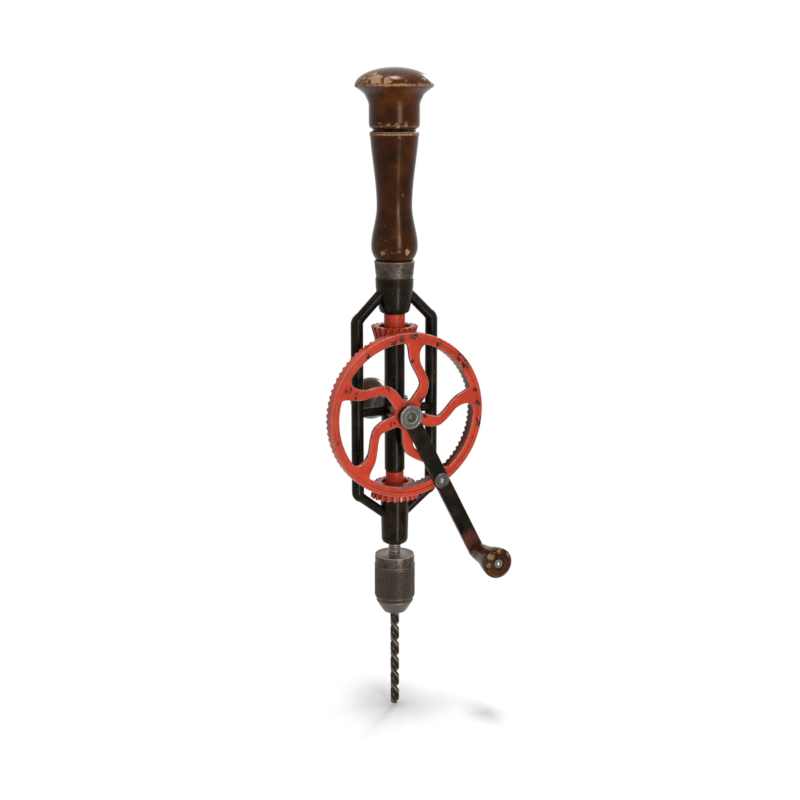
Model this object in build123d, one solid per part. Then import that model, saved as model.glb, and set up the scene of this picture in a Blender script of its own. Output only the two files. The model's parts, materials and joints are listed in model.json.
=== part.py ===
"""Hand drill with a double-pinion bevel drive.

A crank turns a large bevel gear wheel. The wheel drives a pinion below the axle, which is keyed to the
spindle, and steadies itself on an idling pinion above the axle. The spindle carries a three-jaw chuck
with a twist drill. A turned wooden handle stands on top, and a round side handle points backwards.

Frame: +Z up along the spindle, the wheel and crank in front (-Y), the side handle behind (+Y).
The origin is the drill point. Heights inside the functions count from the wheel's axle, where all the
gear cones have their apex, and the whole model is lifted to stand on the drill point at the end.
"""

import os
from math import acos, atan2, cos, degrees, pi, radians, sin, sqrt, tan

from build123d import *

# ---------------------------------------------------------------- fits and gaps
RUN_FIT = 0.05  # radial clearance of a shaft in its bush
THREAD_FIT = 0.08  # radial clearance of a screwed or sliding spigot
END_GAP = 0.3  # gap between a turning face and the fixed face beside it

# ---------------------------------------------------------------- bevel gears
WHEEL_TEETH = 84
PINION_TEETH = 22
WHEEL_RADIUS = 57.8  # outer ends of the wheel's teeth
RIM_WIDTH = 7.0  # radial width of the wheel's rim
TOOTH_ADDENDUM = 0.73  # tooth heights, measured at the wheel's outer edge
TOOTH_DEDENDUM = 1.07
TOOTH_BACKLASH = 0.26
PRESSURE_ANGLE = 20.0
PINION_FACE = 11.0  # length of the pinion's teeth along the spindle
UPPER_PINION_OVERHANG = 1.9  # large end of the upper pinion outside the wheel's edge
LOWER_PINION_OVERHANG = 5.1
UPPER_COLLAR_RADIUS = 7.34
UPPER_COLLAR_RISE = 8.5  # collar above the upper pinion's large end
LOWER_COLLAR_RADIUS = 6.43
LOWER_COLLAR_RISE = 7.5  # collar above the lower pinion's small end
UPPER_DISH_RADIUS = 11.3  # round recess in the pinion's end face
LOWER_DISH_RADIUS = 9.6
DISH_DEPTH = 2.4
KEY_WIDTH = 2.0
KEY_LENGTH = 9.0

# ---------------------------------------------------------------- gear wheel
RIM_DEPTH = 8.2  # from the tooth tips at the outer edge to the front of the rim's bead
BAND_DROP = 0.6  # flat band and spokes lie this far behind the bead
BEAD_WIDTH = 3.4
RIM_EDGE_ROUND = 0.9
SPOKE_COUNT = 5
SPOKE_THICKNESS = 2.8
SPOKE_BULGE = 12.9  # sideways reach of the S near the hub
SPOKE_WIDTH = 6.5  # narrowest width, halfway out
HUB_RADIUS = 10.3
WHEEL_BUSH_RADIUS = 6.4

# ---------------------------------------------------------------- axle and its cap
AXLE_RADIUS = 5.0
AXLE_THREAD_RADIUS = 4.0
AXLE_FLANGE_RADIUS = 7.5
AXLE_FLANGE_THICKNESS = 1.2
AXLE_SCREW_RADIUS = 1.9
AXLE_SCREW_LENGTH = 9.0
CAP_RADIUS = 8.4
CAP_THICKNESS = 1.9
CAP_RECESS_RADIUS = 3.9
CAP_RECESS_DEPTH = 1.0
SCREW_HEAD_RADIUS = 2.9

# ---------------------------------------------------------------- crank
CRANK_RADIUS = 117.0
CRANK_ANGLE = 27.3  # from straight down, towards +X
ARM_WIDTH = 11.0
ARM_THICKNESS = 3.4
ARM_HUB_RADIUS = 8.0
ARM_EYE_RADIUS = 5.6
ARM_RIVET_RADIUS = 54.4  # distance of the domed rivet from the axle
RIVET_HEAD_RADIUS = 5.4
RIVET_HEAD_HEIGHT = 2.6
RIVET_SHANK_RADIUS = 2.4
KNOB_LENGTH = 31.3
KNOB_BASE_RADIUS = 6.3
KNOB_WAIST_RADIUS = 6.9  # a quarter of the way to the front
KNOB_MAX_RADIUS = 10.9
KNOB_RECESS_RADIUS = 4.7
KNOB_RECESS_DEPTH = 1.3
KNOB_PIN_RADIUS = 2.4
KNOB_PIN_HEAD_RADIUS = 3.7
KNOB_PIN_HEAD_HEIGHT = 2.2
KNOB_WASHER_RADIUS = 5.0
KNOB_WASHER_THICKNESS = 0.8

# ---------------------------------------------------------------- frame
ROD_SPREAD = 28.4  # distance of each side rod's axis from the spindle axis
ROD_RADIUS = 4.32
ROD_BEND_LENGTH = 4.5  # the rod thins to the leg's radius over this length
UPPER_LEG_RADIUS = 3.75
UPPER_LEG_SLOPE = 44.5
UPPER_LEG_ATTACH = 10.8  # where the leg's axis meets the boss, above the boss's foot
LOWER_LEG_RADIUS = 3.3
LOWER_LEG_SLOPE = 37.9
LOWER_LEG_CLEARANCE = 0.6  # gap between the leg and the lower pinion's outer corner
LEG_SOCKET_WALL = 0.6  # metal left between a leg's end and the bearing bore
CROSSBAR_RADIUS = 3.3
TUBE_RADIUS = 7.1
TUBE_BORE_RADIUS = 4.9
TUBE_CHAMFER = 1.0
CENTRE_HUB_RADIUS = 8.3
CENTRE_HUB_FRONT = 12.5
CENTRE_HUB_BACK = 15.5
TUBE_SLEEVE_RADIUS = 9.3
TUBE_SLEEVE_LENGTH = 19.0
UPPER_BOSS_HEIGHT = 25.0
UPPER_BOSS_RADIUS = 13.17
UPPER_BOSS_SHOULDER = 6.3  # straight part below the boss's top
UPPER_BOSS_FOOT_RADIUS = 10.9
UPPER_BOSS_CHAMFER = 2.6
LOWER_BOSS_LENGTH = 33.0
LOWER_BOSS_TOP_RADIUS = 10.1
LOWER_BOSS_FOOT_RADIUS = 9.4
LOWER_BOSS_CHAMFER = 2.2
BUSH_RADIUS = 5.9
UPPER_BUSH_LENGTH = 8.0
THRUST_BALL_RADIUS = 3.2
THRUST_CUP_HEIGHT = 4.4
WASHER_THICKNESS = 1.0

# ---------------------------------------------------------------- spindle and drill bit
SPINDLE_RADIUS = 4.4
SPINDLE_STUB = 8.6  # threaded stretch seen between the frame and the chuck
SPINDLE_IN_CHUCK = 11.6
BIT_RADIUS = 3.175
BIT_PROJECTION = 73.1
BIT_SHANK = 25.0  # plain length held inside the chuck
BIT_LEAD = 24.0  # length of one full turn of a flute
BIT_FLUTES = 2
FLUTE_RADIUS = 1.9
BIT_WEB_RADIUS = 1.4
FLUTE_TURN = 29.0  # turn of the first flute at the drill point
BIT_POINT_ANGLE = 118.0

# ---------------------------------------------------------------- chuck
PLATE_HEIGHT = 8.6
PLATE_TOP_RADIUS = 14.1
PLATE_FOOT_RADIUS = 14.5
PLATE_EDGE = 0.5
SLEEVE_RADIUS = 14.45
SLEEVE_LENGTH = 24.4
SLEEVE_CHAMFER = 1.3
CHUCK_CORE_RADIUS = 12.5
NOSE_RADIUS = 13.2
NOSE_END_RADIUS = 8.3
NOSE_HEIGHT = 9.7
NOSE_ROUND = 1.2
BIT_BORE_RADIUS = 3.6
JAW_COUNT = 3
JAW_RADIUS = 2.6
JAW_TILT = 12.0
JAW_NOSE_OFFSET = 4.0  # jaw axis from the spindle axis, at the nose's end face
JAW_LENGTH = 28.0
JAW_INSET = 0.4
JAW_THREAD_OFFSET = 0.6  # the jaw's threaded back stands this far outside its axis
GRIP_GAP = 0.05
NUT_FLOOR_RADIUS = 9.0
NUT_TOP_ABOVE_NOSE = 28.0
NUT_HEIGHT = 5.6
NUT_SPLIT = 0.4

# ---------------------------------------------------------------- top handle
FERRULE_HEIGHT = 11.5
FERRULE_TOP_RADIUS = 13.97
FERRULE_FOOT_RADIUS = 12.96
FERRULE_GROOVE_RADIUS = 12.7
FERRULE_GROOVE_HEIGHT = 1.9
FERRULE_WALL = 1.5
GRIP_LENGTH = 87.8
GRIP_TOP_RADIUS = 16.7
GRIP_NECK_RADIUS = 12.1
GRIP_BULB_RADIUS = 16.0
GRIP_FOOT_RADIUS = 12.5
GRIP_NECK_HEIGHT = 37.0  # heights above the ferrule
GRIP_BULB_HEIGHT = 9.6
GRIP_BAND = 2.6
GROOVE_DEPTH = 2.3
GROOVE_HEIGHT = 2.4
STORE_RADIUS = 8.0  # hollow in the grip that holds spare bits
STORE_DEPTH = 46.0
CAP_SPIGOT_LENGTH = 14.0
CAP_STEM_RADIUS = 17.2
CAP_STEM_HEIGHT = 16.0
CAP_RIM_RADIUS = 26.65
CAP_RIM_HEIGHT = 28.2
CAP_DOME_HEIGHT = 12.7
TANG_RADIUS = 4.5
TANG_IN_GRIP = 26.0
TANG_IN_BOSS = 6.3

# ---------------------------------------------------------------- side handle
SIDE_FERRULE_RADIUS = 8.9
SIDE_FERRULE_LENGTH = 7.0
SIDE_FERRULE_WALL = 1.3
SIDE_KNOB_LENGTH = 41.5  # from the centre hub's back face to the knob's end
SIDE_KNOB_RADIUS = 15.2
SIDE_KNOB_NECK_RADIUS = 8.2
SIDE_KNOB_MAX_AT = 25.5
SIDE_STUD_RADIUS = 3.5
SIDE_STUD_IN_KNOB = 22.0

# ---------------------------------------------------------------- worked-out places
GEAR_SLOPE = PINION_TEETH / WHEEL_TEETH
ADDENDUM_SLOPE = TOOTH_ADDENDUM / WHEEL_RADIUS
DEDENDUM_SLOPE = TOOTH_DEDENDUM / WHEEL_RADIUS
BACKLASH_SLOPE = TOOTH_BACKLASH / WHEEL_RADIUS
RIM_INNER_RADIUS = WHEEL_RADIUS - RIM_WIDTH

WHEEL_FRONT = (GEAR_SLOPE - ADDENDUM_SLOPE) * WHEEL_RADIUS + RIM_DEPTH
BAND_FRONT = WHEEL_FRONT - BAND_DROP

UPPER_PINION_END = WHEEL_RADIUS + UPPER_PINION_OVERHANG
LOWER_PINION_END = WHEEL_RADIUS + LOWER_PINION_OVERHANG
UPPER_PINION_START = UPPER_PINION_END - PINION_FACE
LOWER_PINION_START = LOWER_PINION_END - PINION_FACE
TUBE_TOP = UPPER_PINION_START - END_GAP - WASHER_THICKNESS
LOWER_COLLAR_TOP = LOWER_COLLAR_RISE - LOWER_PINION_START
TUBE_BOTTOM = LOWER_COLLAR_TOP + END_GAP
UPPER_COLLAR_TOP = UPPER_PINION_END + UPPER_COLLAR_RISE
UPPER_BOSS_BOTTOM = UPPER_COLLAR_TOP + END_GAP
UPPER_BOSS_TOP = UPPER_BOSS_BOTTOM + UPPER_BOSS_HEIGHT
UPPER_BUSH_TOP = UPPER_BOSS_BOTTOM + UPPER_BUSH_LENGTH
BALL_CENTRE = UPPER_BUSH_TOP + END_GAP + THRUST_BALL_RADIUS
CUP_TOP = BALL_CENTRE + THRUST_CUP_HEIGHT
LOWER_BOSS_TOP = -LOWER_PINION_END - END_GAP - WASHER_THICKNESS
LOWER_BOSS_BOTTOM = LOWER_BOSS_TOP - LOWER_BOSS_LENGTH
CHUCK_TOP = LOWER_BOSS_BOTTOM - SPINDLE_STUB
PLATE_BOTTOM = CHUCK_TOP - PLATE_HEIGHT
SLEEVE_TOP = PLATE_BOTTOM - END_GAP
SLEEVE_BOTTOM = SLEEVE_TOP - SLEEVE_LENGTH
NOSE_TOP = SLEEVE_BOTTOM - END_GAP
NOSE_BOTTOM = NOSE_TOP - NOSE_HEIGHT
SPINDLE_BOTTOM = CHUCK_TOP - SPINDLE_IN_CHUCK
BIT_TIP = NOSE_BOTTOM - BIT_PROJECTION
NUT_TOP = NOSE_BOTTOM + NUT_TOP_ABOVE_NOSE
NUT_BOTTOM = NUT_TOP - NUT_HEIGHT
FERRULE_TOP = UPPER_BOSS_TOP + FERRULE_HEIGHT
GRIP_TOP = FERRULE_TOP + GRIP_LENGTH
GRIP_TENON_RADIUS = FERRULE_GROOVE_RADIUS - FERRULE_WALL
BORE_RADIUS = SPINDLE_RADIUS + RUN_FIT

FLANGE_FRONT = CENTRE_HUB_FRONT + AXLE_FLANGE_THICKNESS
HUB_BACK = FLANGE_FRONT + END_GAP
ARM_FRONT = WHEEL_FRONT + ARM_THICKNESS
AXLE_END = ARM_FRONT + END_GAP
CAP_FRONT = AXLE_END + CAP_THICKNESS
CRANK_X = CRANK_RADIUS * sin(radians(CRANK_ANGLE))
CRANK_Z = -CRANK_RADIUS * cos(radians(CRANK_ANGLE))
KNOB_BACK = ARM_FRONT + KNOB_WASHER_THICKNESS + END_GAP
KNOB_FRONT = ARM_FRONT + KNOB_LENGTH

AXLE_HEIGHT = -BIT_TIP


# ---------------------------------------------------------------- helpers
def turned(*outline):
    """Solid turned about the spindle axis from (radius, height) points."""
    return revolve(Plane.XZ * make_face(Polyline(*outline, close=True)), Axis.Z)


def turned_forward(*outline):
    """Solid turned about the wheel's axle from (radius, distance ahead of the spindle) points."""
    points = [(radius, -ahead) for radius, ahead in outline]
    return revolve(make_face(Polyline(*points, close=True)), Axis.Y)


def upright(radius, low, high):
    """Upright cylinder on the spindle axis between two heights."""
    return Pos(0, 0, low) * Cylinder(radius, high - low, align=(Align.CENTER, Align.CENTER, Align.MIN))


def lying(radius, back, front):
    """Cylinder on the axle's line between two distances ahead of the spindle axis."""
    place = Plane(origin=(0, -back, 0), z_dir=(0, -1, 0))
    return place * Cylinder(radius, front - back, align=(Align.CENTER, Align.CENTER, Align.MIN))


def arc_points(centre, radius, start, end, count):
    """Points on an arc, from the start angle to the end angle in degrees."""
    angles = [radians(start + (end - start) * i / (count - 1)) for i in range(count)]
    return [(centre[0] + radius * cos(a), centre[1] + radius * sin(a)) for a in angles]


def domed_head(radius, height, seat):
    """Domed rivet head on the axle's line, rising forward from its seat."""
    crown = (radius * radius + height * height) / (2 * height)
    half = degrees(atan2(radius, crown - height))
    arc = CenterArc((0, -(seat + height - crown)), crown, -90, half)
    return revolve(make_face([arc, Line(arc @ 1, (0, -seat)), Line((0, -seat), arc @ 0)]), Axis.Y)


# ---------------------------------------------------------------- bevel gears
def pinion_section(distance):
    """Toothed outline of a pinion, square to the spindle at a distance from the gear apex."""
    pitch = GEAR_SLOPE * distance
    root = (GEAR_SLOPE - DEDENDUM_SLOPE) * distance
    tip = (GEAR_SLOPE + ADDENDUM_SLOPE) * distance
    base = pitch * cos(radians(PRESSURE_ANGLE))

    def involute(radius):
        angle = acos(min(1.0, base / radius))
        return tan(angle) - angle

    half_pitch = pi / 2 / PINION_TEETH - BACKLASH_SLOPE * distance / 4 / pitch
    half_root = half_pitch + involute(pitch)
    half_tip = half_root - involute(tip)
    points = []
    for tooth in range(PINION_TEETH):
        middle = -pi / 2 + 2 * pi * (tooth + 0.5) / PINION_TEETH
        for radius, half in ((root, -half_root), (tip, -half_tip), (tip, half_tip), (root, half_root)):
            points.append((radius * cos(middle + half), radius * sin(middle + half)))
    return Pos(0, 0, distance) * make_face(Polyline(*points, close=True))


def pinion_teeth(start):
    """Toothed ring of a pinion above the gear apex, with its small end at the start height."""
    return loft([pinion_section(start), pinion_section(start + PINION_FACE)], ruled=True)


def upper_pinion():
    """Idling pinion: teeth, a dished large end and a tall collar up to the frame's boss."""
    body = pinion_teeth(UPPER_PINION_START)
    body -= upright(UPPER_DISH_RADIUS, UPPER_PINION_END - DISH_DEPTH, UPPER_PINION_END)
    body += upright(UPPER_COLLAR_RADIUS, UPPER_PINION_START, UPPER_COLLAR_TOP)
    return body - upright(BORE_RADIUS, UPPER_PINION_START, UPPER_COLLAR_TOP)


def key_seat(grow):
    """Block of the key between the spindle and the lower pinion."""
    middle = -LOWER_PINION_END + PINION_FACE / 2
    size = KEY_WIDTH + 2 * grow
    return Pos(0, SPINDLE_RADIUS, middle) * Box(size, size, KEY_LENGTH + 2 * grow)


def lower_pinion():
    """Driven pinion: teeth, a dished small end and a collar up to the centre tube."""
    body = mirror(pinion_teeth(LOWER_PINION_START), about=Plane.XY)
    body -= upright(LOWER_DISH_RADIUS, -LOWER_PINION_START - DISH_DEPTH, -LOWER_PINION_START)
    body += upright(LOWER_COLLAR_RADIUS, -LOWER_PINION_END, LOWER_COLLAR_TOP)
    return body - upright(SPINDLE_RADIUS, -LOWER_PINION_END, LOWER_COLLAR_TOP) - key_seat(0)


def wheel_gap_tool():
    """Cutter for the tooth gap at the top of the wheel, tapering to the gear apex."""
    sections = []
    for distance in (RIM_INNER_RADIUS - 3, WHEEL_RADIUS + 3):
        pitch_half = pi * distance / 2 / WHEEL_TEETH + BACKLASH_SLOPE * distance / 4
        outline = []
        for slope in (-DEDENDUM_SLOPE, 3 * ADDENDUM_SLOPE):
            half = pitch_half + slope * distance * tan(radians(PRESSURE_ANGLE))
            ahead = (GEAR_SLOPE - slope) * distance
            outline.append((half, ahead))
        (root_half, root), (tip_half, tip) = outline
        corners = [(-root_half, -root), (root_half, -root), (tip_half, -tip), (-tip_half, -tip)]
        sections.append(Pos(0, 0, distance) * make_face(Polyline(*corners, close=True)))
    return loft(sections, ruled=True)


def rim_blank():
    """Wheel rim before its teeth are cut: bead, flat band, rounded edges and the tooth cone behind."""
    tip_slope = GEAR_SLOPE - ADDENDUM_SLOPE
    bead_inner = WHEEL_RADIUS - BEAD_WIDTH
    edge = RIM_EDGE_ROUND
    outer = arc_points((WHEEL_RADIUS - edge, WHEEL_FRONT - edge), edge, 0, 90, 5)
    inner = arc_points((RIM_INNER_RADIUS + edge, BAND_FRONT - edge), edge, 90, 180, 5)
    return turned_forward(
        (WHEEL_RADIUS, tip_slope * WHEEL_RADIUS),
        *outer,
        (bead_inner + BAND_DROP, WHEEL_FRONT),
        (bead_inner, BAND_FRONT),
        *inner,
        (RIM_INNER_RADIUS, tip_slope * RIM_INNER_RADIUS),
    )


def spoke():
    """One S-shaped spoke from the hub to the rim, standing upright."""
    start = HUB_RADIUS * 0.5
    reach = RIM_INNER_RADIUS + RIM_WIDTH / 3 - start
    # share of the way out, sideways place as a share of the bulge, width as a multiple of the spoke's
    stations = [
        (0.00, 0.27, 1.38),
        (0.14, 0.65, 1.28),
        (0.23, 0.88, 1.22),
        (0.33, 1.00, 1.08),
        (0.43, 0.90, 1.00),
        (0.52, 0.74, 1.00),
        (0.62, 0.54, 1.02),
        (0.73, 0.42, 1.24),
        (0.83, 0.41, 1.42),
        (0.91, 0.45, 2.00),
        (1.00, 0.50, 3.60),
    ]
    middle = [(side * SPOKE_BULGE, start + share * reach) for share, side, _ in stations]
    left, right = [], []
    for i, (_, _, multiple) in enumerate(stations):
        before, after = middle[max(i - 1, 0)], middle[min(i + 1, len(middle) - 1)]
        run, rise = after[0] - before[0], after[1] - before[1]
        length = sqrt(run * run + rise * rise)
        half = multiple * SPOKE_WIDTH / 2
        offset = (rise / length * half, -run / length * half)
        left.append((middle[i][0] - offset[0], middle[i][1] - offset[1]))
        right.append((middle[i][0] + offset[0], middle[i][1] + offset[1]))
    edges = [Spline(*left), Line(left[-1], right[-1]), Spline(*reversed(right)), Line(right[0], left[0])]
    face = Plane(origin=(0, -BAND_FRONT, 0), x_dir=(1, 0, 0), z_dir=(0, -1, 0)) * make_face(edges)
    return extrude(face, SPOKE_THICKNESS, dir=(0, 1, 0))


def drive_wheel():
    """Bevel gear wheel: toothed rim, S-shaped spokes and a bored hub."""
    teeth = [wheel_gap_tool().rotate(Axis.Y, 360 * (i + 0.5) / WHEEL_TEETH) for i in range(WHEEL_TEETH)]
    rim = rim_blank() - teeth
    spokes = [spoke().rotate(Axis.Y, 360 * i / SPOKE_COUNT) for i in range(SPOKE_COUNT)]
    keep = lying(RIM_INNER_RADIUS + RIM_WIDTH / 3, HUB_BACK, WHEEL_FRONT)
    web = lying(HUB_RADIUS, HUB_BACK, WHEEL_FRONT) + [arm & keep for arm in spokes]
    return rim + web - lying(WHEEL_BUSH_RADIUS, HUB_BACK, WHEEL_FRONT) - rivet_shank()


# ---------------------------------------------------------------- axle, cap and screw
def wheel_bush():
    """Bronze bush pressed into the wheel's hub."""
    body = lying(WHEEL_BUSH_RADIUS, HUB_BACK, WHEEL_FRONT)
    return body - lying(AXLE_RADIUS + RUN_FIT, HUB_BACK, WHEEL_FRONT)


def wheel_axle():
    """Fixed axle stud: thread in the centre hub, flange, journal and a tapped front end."""
    body = lying(AXLE_THREAD_RADIUS, TUBE_RADIUS, CENTRE_HUB_FRONT)
    body += lying(AXLE_FLANGE_RADIUS, CENTRE_HUB_FRONT, FLANGE_FRONT)
    body += lying(AXLE_RADIUS, FLANGE_FRONT, AXLE_END)
    body -= upright(TUBE_RADIUS, -AXLE_RADIUS, AXLE_RADIUS)
    return body - axle_screw_shank()


def axle_screw_shank():
    """Shank of the screw that holds the cap."""
    seat = CAP_FRONT - CAP_RECESS_DEPTH
    return lying(AXLE_SCREW_RADIUS, seat - AXLE_SCREW_LENGTH, seat)


def axle_screw():
    """Cross-recess screw in the middle of the cap."""
    seat = CAP_FRONT - CAP_RECESS_DEPTH
    head = domed_head(SCREW_HEAD_RADIUS, 1.1, seat)
    for turn in (0, 90):
        slot = Pos(0, -(seat + 1.1), 0) * Box(3.4, 1.3, 0.7)
        head -= slot.rotate(Axis.Y, 45 + turn)
    return head + axle_screw_shank()


def axle_cap():
    """Turned cap with two raised rings and a recess for the screw."""
    groove = 0.6
    body = turned_forward(
        (0, AXLE_END),
        (CAP_RADIUS, AXLE_END),
        (CAP_RADIUS, CAP_FRONT - groove),
        (CAP_RADIUS - groove, CAP_FRONT),
        (CAP_RADIUS - 1.7, CAP_FRONT),
        (CAP_RADIUS - 2.0, CAP_FRONT - groove),
        (CAP_RADIUS - 2.6, CAP_FRONT - groove),
        (CAP_RADIUS - 2.9, CAP_FRONT),
        (CAP_RECESS_RADIUS, CAP_FRONT),
        (CAP_RECESS_RADIUS, CAP_FRONT - CAP_RECESS_DEPTH),
        (0, CAP_FRONT - CAP_RECESS_DEPTH),
    )
    return body - axle_screw_shank()


# ---------------------------------------------------------------- crank
def at_crank(shape):
    """Moves a shape from the axle's line to the crank pin's line."""
    return Pos(CRANK_X, 0, CRANK_Z) * shape


def at_rivet(shape):
    """Moves a shape from the axle's line to the rivet's line on the crank arm."""
    share = ARM_RIVET_RADIUS / CRANK_RADIUS
    return Pos(CRANK_X * share, 0, CRANK_Z * share) * shape


def rivet_shank():
    """Shank of the rivet that joins the crank arm to the wheel's rim."""
    back = WHEEL_FRONT - 4.0
    return at_rivet(lying(RIVET_SHANK_RADIUS, back, ARM_FRONT))


def crank_rivet():
    """Domed rivet through the crank arm into the wheel's rim."""
    return at_rivet(domed_head(RIVET_HEAD_RADIUS, RIVET_HEAD_HEIGHT, ARM_FRONT)) + rivet_shank()


def crank_arm():
    """Flat crank arm with a round hub end and a round eye for the knob's pin."""
    bar = Box(ARM_WIDTH, ARM_THICKNESS, CRANK_RADIUS)
    body = (Pos(0, -WHEEL_FRONT - ARM_THICKNESS / 2, -CRANK_RADIUS / 2) * bar).rotate(Axis.Y, -CRANK_ANGLE)
    body += lying(ARM_HUB_RADIUS, WHEEL_FRONT, ARM_FRONT)
    body += at_crank(lying(ARM_EYE_RADIUS, WHEEL_FRONT, ARM_FRONT))
    body -= lying(AXLE_RADIUS + END_GAP, WHEEL_FRONT, ARM_FRONT)
    return body - at_crank(lying(KNOB_PIN_RADIUS, WHEEL_FRONT, ARM_FRONT)) - rivet_shank()


def knob_rivet():
    """Pin through the crank knob, peened behind the arm and domed in front."""
    seat = KNOB_FRONT - KNOB_RECESS_DEPTH + END_GAP
    body = lying(KNOB_PIN_RADIUS, WHEEL_FRONT, seat)
    body += domed_head(KNOB_PIN_HEAD_RADIUS, KNOB_PIN_HEAD_HEIGHT, seat)
    return at_crank(body)


def knob_washer():
    """Washer between the crank arm and the knob."""
    back, front = ARM_FRONT, ARM_FRONT + KNOB_WASHER_THICKNESS
    return at_crank(lying(KNOB_WASHER_RADIUS, back, front) - lying(KNOB_PIN_RADIUS, back, front))


def crank_knob():
    """Turned wooden knob, waisted behind and flared in front, with a recess for the pin's head."""
    length = KNOB_FRONT - KNOB_BACK
    waist = (KNOB_WAIST_RADIUS, -(KNOB_BACK + length * 0.24))
    widest = (KNOB_MAX_RADIUS, -(KNOB_FRONT - length * 0.1))
    shoulder = (KNOB_MAX_RADIUS * 0.8, -KNOB_FRONT)
    flare = Spline((KNOB_BASE_RADIUS, -KNOB_BACK), waist, widest, tangents=[(0.02, -1), (0.1, -1)])
    nose = ThreePointArc(widest, (KNOB_MAX_RADIUS * 0.955, -(KNOB_FRONT - length * 0.03)), shoulder)
    back = Line((0, -KNOB_BACK), (KNOB_BASE_RADIUS, -KNOB_BACK))
    front = Line(shoulder, (0, -KNOB_FRONT))
    body = revolve(make_face([back, flare, nose, front, Line(front @ 1, back @ 0)]), Axis.Y)
    body -= lying(KNOB_RECESS_RADIUS, KNOB_FRONT - KNOB_RECESS_DEPTH, KNOB_FRONT)
    return at_crank(body - lying(KNOB_PIN_RADIUS + RUN_FIT, KNOB_BACK, KNOB_FRONT))


# ---------------------------------------------------------------- frame
def leg_end_x(radius, slope):
    """Distance from the spindle axis at which a leg of this radius stops inside its boss."""
    return BUSH_RADIUS + LEG_SOCKET_WALL + radius * sin(radians(slope))


def leg(bend_height, rise, radius, slope):
    """Rounded bend and straight leg on the +X side; rise is 1 for the upper leg, -1 for the lower one."""
    run = ROD_SPREAD - leg_end_x(radius, slope)
    length = run / cos(radians(slope))
    along = (-cos(radians(slope)), 0, rise * sin(radians(slope)))
    place = Plane(origin=(ROD_SPREAD, 0, bend_height), z_dir=along)
    middle = (Align.CENTER, Align.CENTER, Align.MIN)
    body = place * Cone(ROD_RADIUS, radius, ROD_BEND_LENGTH, align=middle)
    body += place * Cylinder(radius, length, align=middle)
    return body + Pos(ROD_SPREAD, 0, bend_height) * Sphere(ROD_RADIUS)


def side_rod_right():
    """Side rod on the +X side: upright shaft, two rounded bends and two legs."""
    high, low = upper_bend_height(), lower_bend_height()
    shaft = Pos(ROD_SPREAD, 0, (high + low) / 2) * Cylinder(ROD_RADIUS, high - low)
    upper = leg(high, 1, UPPER_LEG_RADIUS, UPPER_LEG_SLOPE)
    return shaft + upper + leg(low, -1, LOWER_LEG_RADIUS, LOWER_LEG_SLOPE)


def upper_bend_height():
    """Height of the upper bend, from where the leg meets the boss's skin."""
    meet = UPPER_BOSS_BOTTOM + UPPER_LEG_ATTACH
    return meet - (ROD_SPREAD - UPPER_BOSS_RADIUS) * tan(radians(UPPER_LEG_SLOPE))


def lower_bend_height():
    """Height of the lower bend, with the leg passing clear of the lower pinion's outer corner."""
    slope = radians(LOWER_LEG_SLOPE)
    away = LOWER_LEG_RADIUS + LOWER_LEG_CLEARANCE
    beside = (GEAR_SLOPE + ADDENDUM_SLOPE) * LOWER_PINION_END + away * sin(slope)
    height = -LOWER_PINION_END - away * cos(slope)
    return height + (ROD_SPREAD - beside) * tan(slope)


def side_rods():
    """Both side rods."""
    right = side_rod_right()
    return {"side_rod_right": right, "side_rod_left": mirror(right, about=Plane.YZ)}


def centre_hub():
    """Boss at axle height: a lying barrel for the axle and side handle, crossed by a sleeve on the tube."""
    half = TUBE_SLEEVE_LENGTH / 2
    body = lying(CENTRE_HUB_RADIUS, -CENTRE_HUB_BACK, CENTRE_HUB_FRONT)
    body += upright(TUBE_SLEEVE_RADIUS, -half, half)
    body -= upright(TUBE_RADIUS, -half, half)
    body -= lying(AXLE_THREAD_RADIUS, 0, CENTRE_HUB_FRONT)
    return body - lying(SIDE_STUD_RADIUS, -CENTRE_HUB_BACK, 0)


def crossbars(rods):
    """Bars at axle height from the centre hub to the side rods, shaped to fit both."""
    bar = Pos(ROD_SPREAD / 2, 0, 0) * Rot(0, 90, 0) * Cylinder(CROSSBAR_RADIUS, ROD_SPREAD)
    right = bar - rods["side_rod_right"] - centre_hub() - upright(TUBE_RADIUS, -ROD_RADIUS, ROD_RADIUS)
    return {"crossbar_right": right, "crossbar_left": mirror(right, about=Plane.YZ)}


def centre_tube():
    """Tube round the spindle between the two pinions."""
    low = TUBE_BOTTOM
    body = turned((0, low), (TUBE_RADIUS - TUBE_CHAMFER, low), (TUBE_RADIUS, low + TUBE_CHAMFER),
                  (TUBE_RADIUS, TUBE_TOP), (0, TUBE_TOP))
    return body - upright(TUBE_BORE_RADIUS, low, TUBE_TOP)


def upper_boss(rods):
    """Frame head: bearing bore from below, tang hole from above, sockets for the upper legs."""
    low, high = UPPER_BOSS_BOTTOM, UPPER_BOSS_TOP
    body = turned(
        (0, low),
        (UPPER_BOSS_FOOT_RADIUS - UPPER_BOSS_CHAMFER, low),
        (UPPER_BOSS_FOOT_RADIUS - UPPER_BOSS_CHAMFER * 0.3, low + UPPER_BOSS_CHAMFER * 0.45),
        (UPPER_BOSS_FOOT_RADIUS, low + UPPER_BOSS_CHAMFER * 1.5),
        (UPPER_BOSS_RADIUS - 0.1, high - UPPER_BOSS_SHOULDER),
        (UPPER_BOSS_RADIUS, high - 0.6),
        (UPPER_BOSS_RADIUS - 0.5, high),
        (0, high),
    )
    body -= upright(BUSH_RADIUS, low, CUP_TOP)
    body -= upright(TANG_RADIUS, high - TANG_IN_BOSS, high)
    return body - rods["side_rod_left"] - rods["side_rod_right"]


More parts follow.
